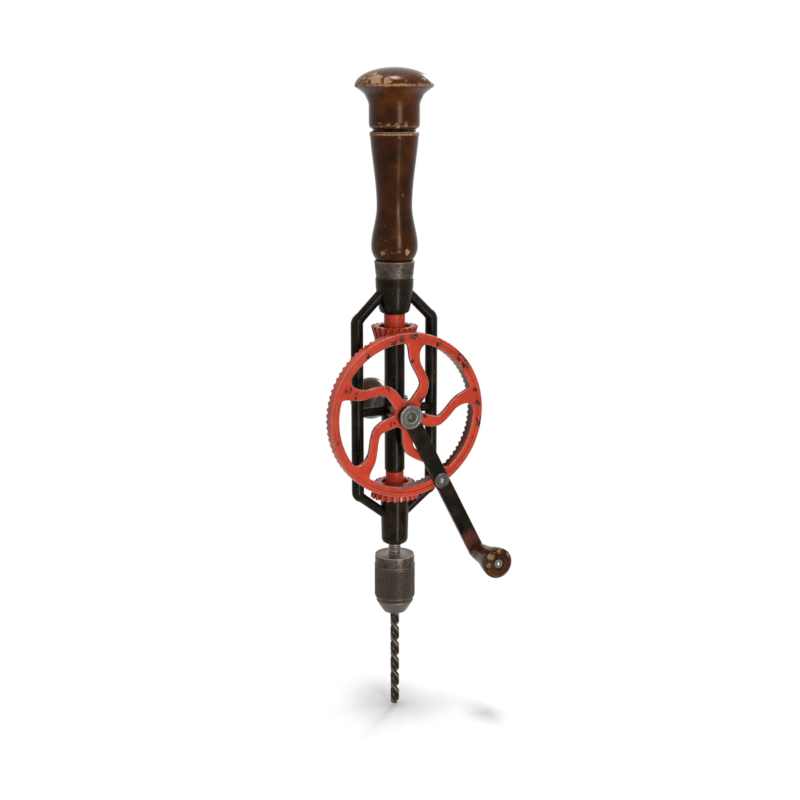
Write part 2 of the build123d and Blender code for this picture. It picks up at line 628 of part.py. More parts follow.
def lower_boss(rods):
    """Frame foot: a long bearing for the spindle, with sockets for the lower legs."""
    low, high = LOWER_BOSS_BOTTOM, LOWER_BOSS_TOP
    body = turned(
        (0, low),
        (LOWER_BOSS_FOOT_RADIUS - LOWER_BOSS_CHAMFER, low),
        (LOWER_BOSS_FOOT_RADIUS - LOWER_BOSS_CHAMFER * 0.3, low + LOWER_BOSS_CHAMFER * 0.45),
        (LOWER_BOSS_FOOT_RADIUS, low + LOWER_BOSS_CHAMFER * 1.3),
        (LOWER_BOSS_TOP_RADIUS, high - 0.5),
        (LOWER_BOSS_TOP_RADIUS - 0.5, high),
        (0, high),
    )
    body -= upright(BUSH_RADIUS, low, high)
    return body - rods["side_rod_left"] - rods["side_rod_right"]


def bush(low, high):
    """Bronze bearing bush for the spindle."""
    return upright(BUSH_RADIUS, low, high) - upright(BORE_RADIUS, low, high)


def thrust_ball():
    """Steel ball that takes the spindle's thrust."""
    return Pos(0, 0, BALL_CENTRE) * Sphere(THRUST_BALL_RADIUS)


def thrust_cup():
    """Hardened cup that seats the thrust ball in the frame's head."""
    return upright(BUSH_RADIUS, BALL_CENTRE, CUP_TOP) - thrust_ball()


def spindle_washer(low):
    """Washer round the spindle, under a pinion."""
    high = low + WASHER_THICKNESS
    return upright(TUBE_RADIUS, low, high) - upright(TUBE_BORE_RADIUS, low, high)


# ---------------------------------------------------------------- spindle and drill bit
def spindle_shaft():
    """Spindle from inside the chuck up to the thrust ball."""
    edge = 0.6
    top = UPPER_BUSH_TOP
    body = turned(
        (0, SPINDLE_BOTTOM),
        (SPINDLE_RADIUS - edge, SPINDLE_BOTTOM),
        (SPINDLE_RADIUS, SPINDLE_BOTTOM + edge),
        (SPINDLE_RADIUS, top - edge),
        (SPINDLE_RADIUS - edge, top),
        (0, top),
    )
    return body - key_seat(0)


def drill_bit():
    """Two-flute twist drill with a conical point; the flutes wind to the left, as photographed."""
    point = BIT_RADIUS / tan(radians(BIT_POINT_ANGLE / 2))
    body = turned((0, BIT_TIP), (BIT_RADIUS, BIT_TIP + point), (BIT_RADIUS, NOSE_BOTTOM + BIT_SHANK),
                  (0, NOSE_BOTTOM + BIT_SHANK))
    groove_radius = BIT_WEB_RADIUS + FLUTE_RADIUS
    run_out = 2.0
    low = BIT_TIP - run_out
    path = Helix(BIT_LEAD, BIT_PROJECTION + run_out, groove_radius, center=(0, 0, low), lefthand=True)
    section = Plane(origin=path @ 0, z_dir=path % 0) * Circle(FLUTE_RADIUS)
    flute = sweep(section, path, is_frenet=True)
    turns = [FLUTE_TURN + 360 * i / BIT_FLUTES for i in range(BIT_FLUTES)]
    return body - [flute.rotate(Axis.Z, turn) for turn in turns]


# ---------------------------------------------------------------- chuck
def jaw_axis_radius(height):
    """Distance of a jaw's axis from the spindle axis at a height above the nose's end face."""
    return JAW_NOSE_OFFSET + height * tan(radians(JAW_TILT))


def jaw_rod(radius, low, high):
    """Tilted round rod on the first jaw's axis between two heights above the nose's end face."""
    tilt = radians(JAW_TILT)
    place = Plane(origin=(jaw_axis_radius(low), 0, NOSE_BOTTOM + low), z_dir=(sin(tilt), 0, cos(tilt)))
    length = (high - low) / cos(tilt)
    return place * Cylinder(radius, length, align=(Align.CENTER, Align.CENTER, Align.MIN))


def chuck_jaw():
    """First jaw: a tilted rod with a flat gripping face and a turned-down threaded back."""
    low, high = JAW_INSET, JAW_INSET + JAW_LENGTH
    body = jaw_rod(JAW_RADIUS, low, high)
    grip = BIT_RADIUS + GRIP_GAP
    body &= Pos(grip, 0, NOSE_BOTTOM) * Box(2 * CHUCK_CORE_RADIUS, 4 * JAW_RADIUS, 3 * JAW_LENGTH,
                                            align=(Align.MIN, Align.CENTER, Align.CENTER))
    limit = JAW_THREAD_OFFSET
    cone = turned(
        (0, NOSE_BOTTOM),
        (jaw_axis_radius(0) + limit, NOSE_BOTTOM),
        (jaw_axis_radius(2 * high) + limit, NOSE_BOTTOM + 2 * high),
        (0, NOSE_BOTTOM + 2 * high),
    )
    return body & cone


def chuck_body():
    """Chuck core with its nose cone, bored for the bit, the spindle and the tilted jaws."""
    body = turned(
        (0, NOSE_BOTTOM),
        (NOSE_END_RADIUS - NOSE_ROUND, NOSE_BOTTOM),
        (NOSE_END_RADIUS - NOSE_ROUND * 0.3, NOSE_BOTTOM + NOSE_ROUND * 0.3),
        (NOSE_END_RADIUS + NOSE_ROUND * 0.35, NOSE_BOTTOM + NOSE_ROUND * 1.1),
        (NOSE_RADIUS, NOSE_TOP - NOSE_ROUND),
        (NOSE_RADIUS, NOSE_TOP),
        (CHUCK_CORE_RADIUS, NOSE_TOP),
        (CHUCK_CORE_RADIUS, NUT_BOTTOM - END_GAP),
        (NUT_FLOOR_RADIUS, NUT_BOTTOM - END_GAP),
        (NUT_FLOOR_RADIUS, NUT_TOP + END_GAP),
        (CHUCK_CORE_RADIUS, NUT_TOP + END_GAP),
        (CHUCK_CORE_RADIUS, PLATE_BOTTOM),
        (0, PLATE_BOTTOM),
    )
    body -= upright(BIT_BORE_RADIUS, NOSE_BOTTOM, NOSE_BOTTOM + BIT_SHANK)
    body -= upright(SPINDLE_RADIUS, SPINDLE_BOTTOM, PLATE_BOTTOM)
    bore = jaw_rod(JAW_RADIUS + THREAD_FIT, -2 * JAW_RADIUS, PLATE_BOTTOM - NOSE_BOTTOM - END_GAP)
    return body - [bore.rotate(Axis.Z, jaw_turn(i)) for i in range(JAW_COUNT)]


def jaw_turn(index):
    """Turn of a jaw about the spindle; the first jaw points to the back."""
    return 90 + 360 * index / JAW_COUNT


def chuck_back_plate():
    """Smooth rear plate of the chuck, screwed on the spindle above the sleeve."""
    body = turned(
        (0, PLATE_BOTTOM),
        (PLATE_FOOT_RADIUS, PLATE_BOTTOM),
        (PLATE_FOOT_RADIUS, PLATE_BOTTOM + 1.0),
        (PLATE_TOP_RADIUS, PLATE_BOTTOM + 2.0),
        (PLATE_TOP_RADIUS, CHUCK_TOP - PLATE_EDGE),
        (PLATE_TOP_RADIUS - PLATE_EDGE, CHUCK_TOP),
        (0, CHUCK_TOP),
    )
    return body - upright(SPINDLE_RADIUS, PLATE_BOTTOM, CHUCK_TOP)


def chuck_sleeve():
    """Gripping sleeve round the chuck's core; it carries the nut."""
    low, high = SLEEVE_BOTTOM, SLEEVE_TOP
    edge = 0.5
    body = turned(
        (0, low),
        (SLEEVE_RADIUS - SLEEVE_CHAMFER, low),
        (SLEEVE_RADIUS, low + 2 * SLEEVE_CHAMFER),
        (SLEEVE_RADIUS, high - edge),
        (SLEEVE_RADIUS - edge, high),
        (0, high),
    )
    return body - upright(CHUCK_CORE_RADIUS + THREAD_FIT, low, high)


def chuck_nut_half(side):
    """Half of the nut inside the sleeve; side is 1 for the +X half, -1 for the other.

    Its cone follows the jaws' threaded backs.
    """
    limit = JAW_THREAD_OFFSET + THREAD_FIT
    inner_low = jaw_axis_radius(NUT_BOTTOM - NOSE_BOTTOM) + limit
    inner_high = jaw_axis_radius(NUT_TOP - NOSE_BOTTOM) + limit
    outer = CHUCK_CORE_RADIUS + THREAD_FIT
    ring = turned((inner_low, NUT_BOTTOM), (outer, NUT_BOTTOM), (outer, NUT_TOP), (inner_high, NUT_TOP))
    reach = 2 * outer
    keep = Pos(side * (NUT_SPLIT / 2 + reach / 2), 0, NUT_TOP) * Box(reach, 2 * reach, 3 * NUT_HEIGHT)
    return ring & keep


# ---------------------------------------------------------------- top handle
def handle_ferrule():
    """Flared metal ferrule between the frame's head and the grip."""
    low, high = UPPER_BOSS_TOP, FERRULE_TOP
    body = turned(
        (0, low),
        (FERRULE_GROOVE_RADIUS, low),
        (FERRULE_GROOVE_RADIUS, low + FERRULE_GROOVE_HEIGHT * 0.8),
        (FERRULE_FOOT_RADIUS, low + FERRULE_GROOVE_HEIGHT),
        (FERRULE_TOP_RADIUS, high - 0.8),
        (FERRULE_TOP_RADIUS, high - 0.3),
        (FERRULE_TOP_RADIUS - 0.5, high),
        (0, high),
    )
    return body - upright(GRIP_TENON_RADIUS, low, high)


def handle_grip():
    """Turned grip: tenon in the ferrule, bulb, waist, long taper and a band below the cap's groove."""
    base, top = FERRULE_TOP, GRIP_TOP
    groove_radius = GRIP_TOP_RADIUS - GROOVE_DEPTH
    band_low = top - GROOVE_HEIGHT / 2 - GRIP_BAND
    bulb = base + GRIP_BULB_HEIGHT
    neck = base + GRIP_NECK_HEIGHT
    side = Spline((GRIP_FOOT_RADIUS, base), (GRIP_BULB_RADIUS, bulb), (GRIP_NECK_RADIUS, neck),
                  (GRIP_TOP_RADIUS - 0.2, band_low),
                  tangents=[(0.9, 1), (0, 1), (0, 1), (0.08, 1)])
    groove_low = top - GROOVE_HEIGHT / 2
    points = [(GRIP_TOP_RADIUS - 0.2, band_low), (GRIP_TOP_RADIUS, band_low + 0.3),
              (GRIP_TOP_RADIUS, groove_low - 0.4), (GRIP_TOP_RADIUS - 0.5, groove_low),
              (groove_radius, top), (STORE_RADIUS, top), (STORE_RADIUS, top - STORE_DEPTH),
              (0, top - STORE_DEPTH), (0, UPPER_BOSS_TOP), (GRIP_TENON_RADIUS, UPPER_BOSS_TOP),
              (GRIP_TENON_RADIUS, base), (GRIP_FOOT_RADIUS, base)]
    body = revolve(Plane.XZ * make_face([side, Polyline(*points)]), Axis.Z)
    return body - handle_tang()


def handle_tang():
    """Threaded rod that joins the grip to the frame's head."""
    return upright(TANG_RADIUS, UPPER_BOSS_TOP - TANG_IN_BOSS, UPPER_BOSS_TOP + TANG_IN_GRIP)


def handle_cap():
    """Mushroom cap: threaded spigot, straight stem, hollow flare, sharp rim and low dome."""
    low = GRIP_TOP + END_GAP
    groove_radius = GRIP_TOP_RADIUS - GROOVE_DEPTH
    stem_low = low + GROOVE_HEIGHT / 2
    stem_high = low + CAP_STEM_HEIGHT
    rim = low + CAP_RIM_HEIGHT
    spigot = STORE_RADIUS - THREAD_FIT
    lower = Polyline((0, low - CAP_SPIGOT_LENGTH), (spigot, low - CAP_SPIGOT_LENGTH), (spigot, low),
                     (groove_radius, low), (CAP_STEM_RADIUS - 1.0, stem_low),
                     (CAP_STEM_RADIUS - 0.3, stem_low + 0.8), (CAP_STEM_RADIUS, stem_low + 3.0),
                     (CAP_STEM_RADIUS, stem_high))
    flare = Spline(lower @ 1, (CAP_STEM_RADIUS + 2.2, rim - 6.2), (CAP_RIM_RADIUS, rim),
                   tangents=[(0, 1), (0.45, 1), (1.5, 1)])
    shoulder = (CAP_RIM_RADIUS * sqrt(0.5), rim + CAP_DOME_HEIGHT * sqrt(0.5))
    crown = (0, rim + CAP_DOME_HEIGHT)
    dome = Spline((CAP_RIM_RADIUS, rim), shoulder, crown, tangents=[(0, 1), (-1, 0)])
    axis_line = Line(dome @ 1, lower @ 0)
    return revolve(Plane.XZ * make_face([lower, flare, dome, axis_line]), Axis.Z)


# ---------------------------------------------------------------- side handle
def side_handle_ferrule():
    """Cup-shaped ferrule at the foot of the side handle."""
    back, front = -(CENTRE_HUB_BACK + SIDE_FERRULE_LENGTH), -CENTRE_HUB_BACK
    body = turned_forward((0, back), (SIDE_FERRULE_RADIUS, back), (SIDE_FERRULE_RADIUS, front - 0.8),
                          (SIDE_FERRULE_RADIUS - 0.8, front), (0, front))
    body -= lying(SIDE_FERRULE_RADIUS - SIDE_FERRULE_WALL, back, front - SIDE_FERRULE_WALL)
    return body - side_handle_stud()


def side_handle_grip():
    """Pear-shaped wooden side knob with its tenon in the ferrule."""
    hub = CENTRE_HUB_BACK
    tenon = SIDE_FERRULE_RADIUS - SIDE_FERRULE_WALL
    neck = hub + SIDE_FERRULE_LENGTH
    end = hub + SIDE_KNOB_LENGTH
    widest = hub + SIDE_KNOB_MAX_AT
    flare = Spline((SIDE_KNOB_NECK_RADIUS, neck), (SIDE_KNOB_RADIUS, widest), tangents=[(0.3, 1), (0, 1)])
    shoulder = (SIDE_KNOB_RADIUS * sqrt(0.5), widest + (end - widest) * sqrt(0.5))
    crown = Spline((SIDE_KNOB_RADIUS, widest), shoulder, (0, end), tangents=[(0, 1), (-1, 0)])
    foot = hub + SIDE_FERRULE_WALL
    inner = Polyline((0, end), (0, foot), (tenon, foot), (tenon, neck), (SIDE_KNOB_NECK_RADIUS, neck))
    return revolve(make_face([flare, crown, inner]), Axis.Y) - side_handle_stud()


def side_handle_stud():
    """Steel stud that holds the side handle in the centre hub."""
    stud = lying(SIDE_STUD_RADIUS, -(CENTRE_HUB_BACK + SIDE_STUD_IN_KNOB), 0)
    return stud - upright(TUBE_RADIUS, -CENTRE_HUB_RADIUS, CENTRE_HUB_RADIUS)


# ---------------------------------------------------------------- assembly
def build_nodes():
    """All pieces by node name, with heights counted from the axle."""
    rods = side_rods()
    nodes = {
        "handle_cap": handle_cap(),
        "handle_grip": handle_grip(),
        "handle_ferrule": handle_ferrule(),
        "handle_tang": handle_tang(),
        "upper_boss": upper_boss(rods),
        "upper_bush": bush(UPPER_BOSS_BOTTOM, UPPER_BUSH_TOP),
        "thrust_ball": thrust_ball(),
        "thrust_cup": thrust_cup(),
        "lower_boss": lower_boss(rods),
        "lower_bush": bush(LOWER_BOSS_BOTTOM, LOWER_BOSS_TOP),
        "thrust_washer": spindle_washer(LOWER_BOSS_TOP),
        "idler_washer": spindle_washer(TUBE_TOP),
        "centre_tube": centre_tube(),
        "centre_hub": centre_hub(),
        "wheel_axle": wheel_axle(),
        "axle_cap": axle_cap(),
        "axle_screw": axle_screw(),
        "side_handle_stud": side_handle_stud(),
        "side_handle_ferrule": side_handle_ferrule(),
        "side_handle_grip": side_handle_grip(),
        "drive_wheel": drive_wheel(),
        "wheel_bush": wheel_bush(),
        "crank_arm": crank_arm(),
        "crank_rivet": crank_rivet(),
        "knob_rivet": knob_rivet(),
        "knob_washer": knob_washer(),
        "crank_knob": crank_knob(),
        "upper_pinion": upper_pinion(),
        "lower_pinion": lower_pinion(),
        "pinion_key": key_seat(0),
        "spindle_shaft": spindle_shaft(),
        "drill_bit": drill_bit(),
        "chuck_back_plate": chuck_back_plate(),
        "chuck_body": chuck_body(),
        "chuck_sleeve": chuck_sleeve(),
        "chuck_nut_right": chuck_nut_half(1),
        "chuck_nut_left": chuck_nut_half(-1),
    }
    nodes.update(rods)
    nodes.update(crossbars(rods))
    for i in range(JAW_COUNT):
        nodes[f"chuck_jaw_{i + 1}"] = chuck_jaw().rotate(Axis.Z, jaw_turn(i))
    return nodes


def main():
    """Writes one STEP file per piece, with the drill point at the origin."""
    os.makedirs("parts", exist_ok=True)
    for name, shape in build_nodes().items():
        export_step(Pos(0, 0, AXLE_HEIGHT) * shape, f"parts/{name}.step")


main()
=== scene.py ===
"""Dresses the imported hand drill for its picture: shapes, finishes, studio and camera.

Sizes are in millimetres, measured from the wheel's axle: X to the right, Y to the back, Z up.
"""

import json
import logging
from dataclasses import dataclass, field, replace
from enum import Enum
from math import acos, cos, pi, radians, sin, sqrt, tan
from typing import Any, Iterable, Sequence

import bmesh
import bpy
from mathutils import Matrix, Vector
from mathutils.geometry import delaunay_2d_cdt

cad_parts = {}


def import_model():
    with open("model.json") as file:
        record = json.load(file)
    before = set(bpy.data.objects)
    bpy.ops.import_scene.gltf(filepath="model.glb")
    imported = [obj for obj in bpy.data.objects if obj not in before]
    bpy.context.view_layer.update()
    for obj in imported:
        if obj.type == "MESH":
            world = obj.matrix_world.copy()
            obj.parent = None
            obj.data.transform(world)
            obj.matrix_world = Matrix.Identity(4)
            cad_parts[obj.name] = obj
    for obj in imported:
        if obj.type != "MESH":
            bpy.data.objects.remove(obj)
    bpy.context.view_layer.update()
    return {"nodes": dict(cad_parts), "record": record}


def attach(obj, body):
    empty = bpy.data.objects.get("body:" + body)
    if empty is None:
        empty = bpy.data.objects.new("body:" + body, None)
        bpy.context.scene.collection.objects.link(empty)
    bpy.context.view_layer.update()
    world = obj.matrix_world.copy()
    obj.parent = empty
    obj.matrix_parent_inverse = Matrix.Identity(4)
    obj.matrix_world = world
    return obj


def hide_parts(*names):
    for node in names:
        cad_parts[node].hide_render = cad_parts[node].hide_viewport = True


LOG = logging.getLogger("hand_drill")

MM = 0.001
AXLE_HEIGHT = 222.2  # the wheel's axle above the drill's tip
CRANK_RADIUS = 117.0
CRANK_ANGLE = radians(27.3)  # from straight down, towards +X
KNOB_AXIS = (CRANK_RADIUS * sin(CRANK_ANGLE), -CRANK_RADIUS * cos(CRANK_ANGLE))  # x and z
CAMERA_TURN = radians(24.9)  # how far left of straight ahead the photograph's camera stands
EDGE = "edge"  # attribute: 1 on outer edges, -1 in inner corners, 0 on open faces
WHITE = (1.0, 1.0, 1.0)

Colour = tuple[float, float, float]
Point = tuple[float, float]
RingPoint = tuple[float, float, float]  # radius, place along the axis, edge value
Mark = tuple[float, float, float, float]  # x, y and z with a radius or an edge value
Corners = Sequence[tuple[float, ...]]  # radius and place along the axis, then rounding and edge value if any


class Turn(Enum):
    """Axis that a turned piece is made about."""

    UP = "spindle line"
    FORWARD = "axle line"


class Slot(Enum):
    """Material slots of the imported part."""

    RED = "red_paint"
    BLACK = "black_paint"
    WOOD = "dark_wood"
    KNOB_WOOD = "knob_wood"
    DARK_STEEL = "dark_steel"
    KNURLED = "knurled_steel"
    BRIGHT_STEEL = "bright_steel"
    BRONZE = "bronze"
    HARD_STEEL = "hard_steel"
    DRILL_STEEL = "drill_steel"


# ---------------------------------------------------------------- outlines
def neighbours(loop: Sequence[Any]) -> Iterable[tuple[Any, Any]]:
    """Pairs of neighbours of a closed line."""
    return zip(loop, [*loop[1:], loop[0]])


def area(loop: Sequence[Point]) -> float:
    """Twice the area inside a closed line, negative if it runs clockwise."""
    return sum(a[0] * b[1] - b[0] * a[1] for a, b in neighbours(loop))


def rounded(corners: Corners, closed: bool = True, steps: int = 4) -> list[RingPoint]:
    """Rounds the corners of an outline and notes where its edges are.

    Args:
        corners: the corners in order.
        closed: whether the last corner joins the first.
        steps: facets in each rounded corner.

    Returns:
        (radius, along, edge) points; edge is positive on outer corners.
    """
    flat = [corner[:2] for corner in corners]
    count, size = len(flat), area(flat)
    out: list[RingPoint] = []
    for i, corner in enumerate(corners):
        rounding, beside = (*corner[2:], 0.0, 0.0)[:2]
        here = Vector(flat[i])
        if rounding <= 0 or (not closed and i in (0, count - 1)):
            out.append((here.x, here.y, beside))
            continue
        back, ahead = Vector(flat[i - 1]) - here, Vector(flat[(i + 1) % count]) - here
        room = min(back.length, ahead.length)
        reach = min(rounding / max(tan(back.angle(ahead) / 2), 0.05), 0.45 * room)
        support = min(reach * 1.4, 0.49 * room)
        sign = 1.0 if (back.y * ahead.x - back.x * ahead.y) * size > 0 else -1.0
        back, ahead = back.normalized(), ahead.normalized()
        start, end = here + back * reach, here + ahead * reach
        out.append((*(here + back * support), beside))
        for k in range(steps + 1):
            s = k / steps
            spot = start * (1 - s) ** 2 + here * 2 * s * (1 - s) + end * s * s
            out.append((spot.x, spot.y, sign * (0.3 + 0.7 * sin(pi * s))))
        out.append((*(here + ahead * support), beside))
    return out


def flowing(stations: Sequence[tuple[float, float, float]], steps: int) -> list[Point]:
    """Smooth side of a turned piece.

    Args:
        stations: (place along the axis, radius, slope of the radius) in order.
        steps: points between two stations.

    Returns:
        (radius, along) points from the first station to the last.
    """
    out: list[Point] = []
    for (z0, r0, m0), (z1, r1, m1) in zip(stations, stations[1:]):
        span = z1 - z0
        for k in range(steps):
            s = k / steps
            radius = ((2 * s**3 - 3 * s**2 + 1) * r0 + (s**3 - 2 * s**2 + s) * span * m0
                      + (3 * s**2 - 2 * s**3) * r1 + (s**3 - s**2) * span * m1)
            out.append((radius, z0 + s * span))
    out.append((stations[-1][1], stations[-1][0]))
    return out


def through(points: Sequence[Point], steps: int = 8) -> list[Point]:
    """Smooth line through points of a plane.

    Args:
        points: the points in order.
        steps: pieces between two neighbours.

    Returns:
        The points of the line.
    """
    padded = [points[0], *points, points[-1]]
    out: list[Point] = []
    for four in zip(padded, padded[1:], padded[2:], padded[3:]):
        for s in (k / steps for k in range(steps)):
            out.append(tuple(
                0.5 * (2 * q + (r - p) * s + (2 * p - 5 * q + 4 * r - t) * s * s + (3 * q - p - 3 * r + t) * s**3)
                for p, q, r, t in zip(*four)))
    out.append(points[-1])
    return out


def spun(point: Point, angle: float) -> Point:
    """Point of the wheel's plane turned clockwise about the axle by an angle in radians."""
    x, z = point
    return (x * cos(angle) + z * sin(angle), z * cos(angle) - x * sin(angle))


def arc(centre: Point, radius: float, start: float, end: float, count: int) -> list[Point]:
    """Points of an arc, from the start angle to the end angle in radians."""
    angles = [start + (end - start) * i / (count - 1) for i in range(count)]
    return [(centre[0] + radius * cos(a), centre[1] + radius * sin(a)) for a in angles]


def circle(radius: float, count: int) -> list[Point]:
    """Points of a circle round the axle."""
    return arc((0, 0), radius, 0, 2 * pi, count + 1)[:-1]


def evened(loop: Sequence[Point], spacing: float, passes: int) -> list[Point]:
    """Closed line with evenly spaced points and softened corners.

    Args:
        loop: points of the closed line.
        spacing: distance between the new points.
        passes: smoothing passes; more make rounder corners.

    Returns:
        The new points.
    """
    ring = [Vector(p) for p in loop]
    lengths = [(b - a).length for a, b in neighbours(ring)]
    count = max(12, round(sum(lengths) / spacing))
    step = sum(lengths) / count
    out: list[Vector] = []
    index, done = 0, 0.0
    for k in range(count):
        target = k * step
        while done + lengths[index] < target and index < len(ring) - 1:
            done += lengths[index]
            index += 1
        share = (target - done) / max(lengths[index], 1e-9)
        out.append(ring[index].lerp(ring[(index + 1) % len(ring)], min(share, 1.0)))
    for _ in range(passes):
        out = [out[i] * 0.5 + (out[i - 1] + out[(i + 1) % count]) * 0.25 for i in range(count)]
    return [(p.x, p.y) for p in out]


def inside(place: Vector, loop: Sequence[Vector]) -> bool:
    """Whether a place of a plane lies inside a closed line."""
    return sum((a.y > place.y) != (b.y > place.y) and place.x < a.x + (place.y - a.y) / (b.y - a.y) * (b.x - a.x)
               for a, b in neighbours(loop)) % 2 == 1


def dome(radius: float, height: float, seat: float, steps: int = 10) -> list[RingPoint]:
    """Outline of a domed rivet head.

    Args:
        radius: its radius.
        height: how far it rises.
        seat: where it sits.
        steps: facets from its middle to its rim.

    Returns:
        (radius, along, edge) points from its middle to its rim.
    """
    crown = (radius * radius + height * height) / (2 * height)
    half = acos((crown - height) / crown)
    return [(crown * sin(half * k / steps), seat + height - crown + crown * cos(half * k / steps),
             0.25 + 0.5 * (k == steps)) for k in range(steps + 1)]


# ---------------------------------------------------------------- meshes
@dataclass
class Shape:
    """Points, faces and edge values of one piece, in millimetres from the axle."""

    points: list[tuple[float, float, float]] = field(default_factory=list)
    faces: list[tuple[int, ...]] = field(default_factory=list)
    edges: list[float] = field(default_factory=list)

    def add(self, x: float, y: float, z: float, edge: float = 0.0) -> int:
        """Adds a point.

        Args:
            x: its distance to the right.
            y: its distance to the back.
            z: its height.
            edge: its edge value.

        Returns:
            Its number.
        """
        self.points.append((x, y, z))
        self.edges.append(edge)
        return len(self.points) - 1

    def grid(self, rows: Sequence[Sequence[int]], wrap: bool = False) -> "Shape":
        """Joins rows of points with faces.

        Args:
            rows: point numbers, row by row; a row of one point is a pole.
            wrap: whether the last row joins the first.

        Returns:
            The shape itself.
        """
        pairs = neighbours(rows) if wrap else zip(rows, rows[1:])
        for low, high in pairs:
            for k in range(max(len(low), len(high))):
                corners = (low[k % len(low)], low[(k + 1) % len(low)], high[(k + 1) % len(high)], high[k % len(high)])
                face = tuple(dict.fromkeys(corners))
                if len(face) > 2:
                    self.faces.append(face)
        return self

    def turned(self, outline: Sequence[RingPoint], turn: Turn = Turn.UP, centre: Point = (0.0, 0.0),
               closed: bool = False, segments: int = 96) -> "Shape":
        """Adds a turned body.

        Args:
            outline: (radius, along, edge) points; along is the height, or the distance ahead of the spindle.
            turn: the axis.
            centre: (x, z) of an axle-wise axis.
            closed: whether the outline is a ring of its own.
            segments: facets round the axis.

        Returns:
            The shape itself.
        """
        rows = []
        for radius, along, edge in outline:
            row = []
            for k in range(segments if radius > 1e-5 else 1):
                angle = 2 * pi * k / segments
                across, up = radius * cos(angle), radius * sin(angle)
                if turn is Turn.UP:
                    row.append(self.add(across, up, along, edge))
                else:
                    row.append(self.add(centre[0] + across, -along, centre[1] + up, edge))
            rows.append(row)
        return self.grid(rows, closed)

    def rod(self, path: Sequence[Mark], segments: int = 32) -> "Shape":
        """Adds a round rod, closed at both ends.

        Args:
            path: (x, y, z, radius) points of its middle line.
            segments: facets round the rod.

        Returns:
            The shape itself.
        """
        line = [Vector(p[:3]) for p in path]
        angles = [2 * pi * k / segments for k in range(segments)]
        side = Vector((0, 1, 0))
        rows = [[self.add(*line[0])]]
        for i, here in enumerate(line):
            along = (line[min(i + 1, len(line) - 1)] - line[max(i - 1, 0)]).normalized()
            side = (side - along * side.dot(along)).normalized()
            up = along.cross(side)
            rows.append([self.add(*(here + (side * cos(a) + up * sin(a)) * path[i][3])) for a in angles])
        rows.append([self.add(*line[-1])])
        return self.grid(rows)

    def plate(self, outer: Sequence[Point], holes: Sequence[Sequence[Point]], front: float, back: float,
              front_round: float, back_round: float, steps: int = 4) -> "Shape":
        """Adds a flat plate that faces forward, with rounded edges and holes.

        Args:
            outer: its outline in the wheel's plane.
            holes: outlines of its holes.
            front: distance of its front face ahead of the spindle.
            back: distance of its back face.
            front_round: rounding of the front edges.
            back_round: rounding of the back edges.
            steps: facets in a rounded edge.

        Returns:
            The shape itself.
        """
        quarter = [pi / 2 * k / steps for k in range(steps + 1)]
        levels: list[RingPoint] = [
            (front_round * 1.7, front, 0.0), (front_round * 1.2, front, 0.0),
            # front rounding: its outer values give the paint's rubbed edges with painted highlights
            *((front_round * (1 - sin(a)), front - front_round * (1 - cos(a)), 0.35 + 0.65 * sin(2 * a))
              for a in quarter),
            # walls and back rounding: their inner values paint shade on them in the paint's grime colour
            *((0.0, front - front_round - (front - back) * share, edge) for share, edge in ((0.12, -0.7), (0.4, -0.9))),
            *((back_round * (1 - cos(a)), back + back_round * (1 - sin(a)), -0.5) for a in quarter),
            (back_round * 1.3, back, -0.2)]
        caps: tuple[list[list[int]], list[list[int]]] = ([], [])
        for number, loop in enumerate([outer, *holes]):
            into = 1.0 if (area(loop) > 0) == (number == 0) else -1.0
            runs = [Vector(loop[(i + 1) % len(loop)]) - Vector(loop[i - 1]) for i in range(len(loop))]
            inward = [Vector((-run.y, run.x)).normalized() * into for run in runs]
            rows = [[self.add(p[0] + n.x * inset, -ahead, p[1] + n.y * inset, edge) for p, n in zip(loop, inward)]
                    for inset, ahead, edge in levels]
            self.grid(rows)
            caps[0].append(rows[0])
            caps[1].append(rows[-1])
        for rings in caps:
            self.fill(rings)
        return self

    def fill(self, rings: Sequence[Sequence[int]]) -> None:
        """Closes a flat face of the wheel's plane.

        Args:
            rings: point numbers of its outer ring, and then of the ring round each hole.
        """
        flat = [i for ring in rings for i in ring]
        spots = [Vector((self.points[i][0], self.points[i][2])) for i in flat]
        edges, runs, start = [], [], 0
        for ring in rings:
            runs.append(spots[start:start + len(ring)])
            edges.extend((start + k, start + (k + 1) % len(ring)) for k in range(len(ring)))
            start += len(ring)
        places, _, faces, origin, _, _ = delaunay_2d_cdt(spots, edges, [], 1, 1e-6)
        for face in faces:
            middle = sum((places[i] for i in face), Vector((0.0, 0.0))) / len(face)
            if not any(inside(middle, run) for run in runs[1:]):
                self.faces.append(tuple(flat[origin[i][0]] for i in face))

    def prism(self, near: Sequence[Mark], far: Sequence[Mark]) -> "Shape":
        """Adds a closed body between two outlines.

        Args:
            near: (x, y, z, edge) points of the first outline.
            far: as many points of the second one.

        Returns:
            The shape itself.
        """
        rows = [[self.add(*p) for p in outline] for outline in (near, far)]
        self.grid(rows)
        self.faces.extend(tuple(row) for row in rows)
        return self

    def take(self, mesh: bpy.types.Mesh) -> "Shape":
        """Adds the faces of a mesh.

        Args:
            mesh: a plain mesh in the part's own frame.

        Returns:
            The shape itself.
        """
        start = len(self.points)
        stored = mesh.attributes.get(EDGE)
        for i, vertex in enumerate(mesh.vertices):
            x, y, z = vertex.co / MM
            self.add(x, y, z - AXLE_HEIGHT, stored.data[i].value if stored else 0.0)
        self.faces.extend(tuple(start + v for v in face.vertices) for face in mesh.polygons)
        return self

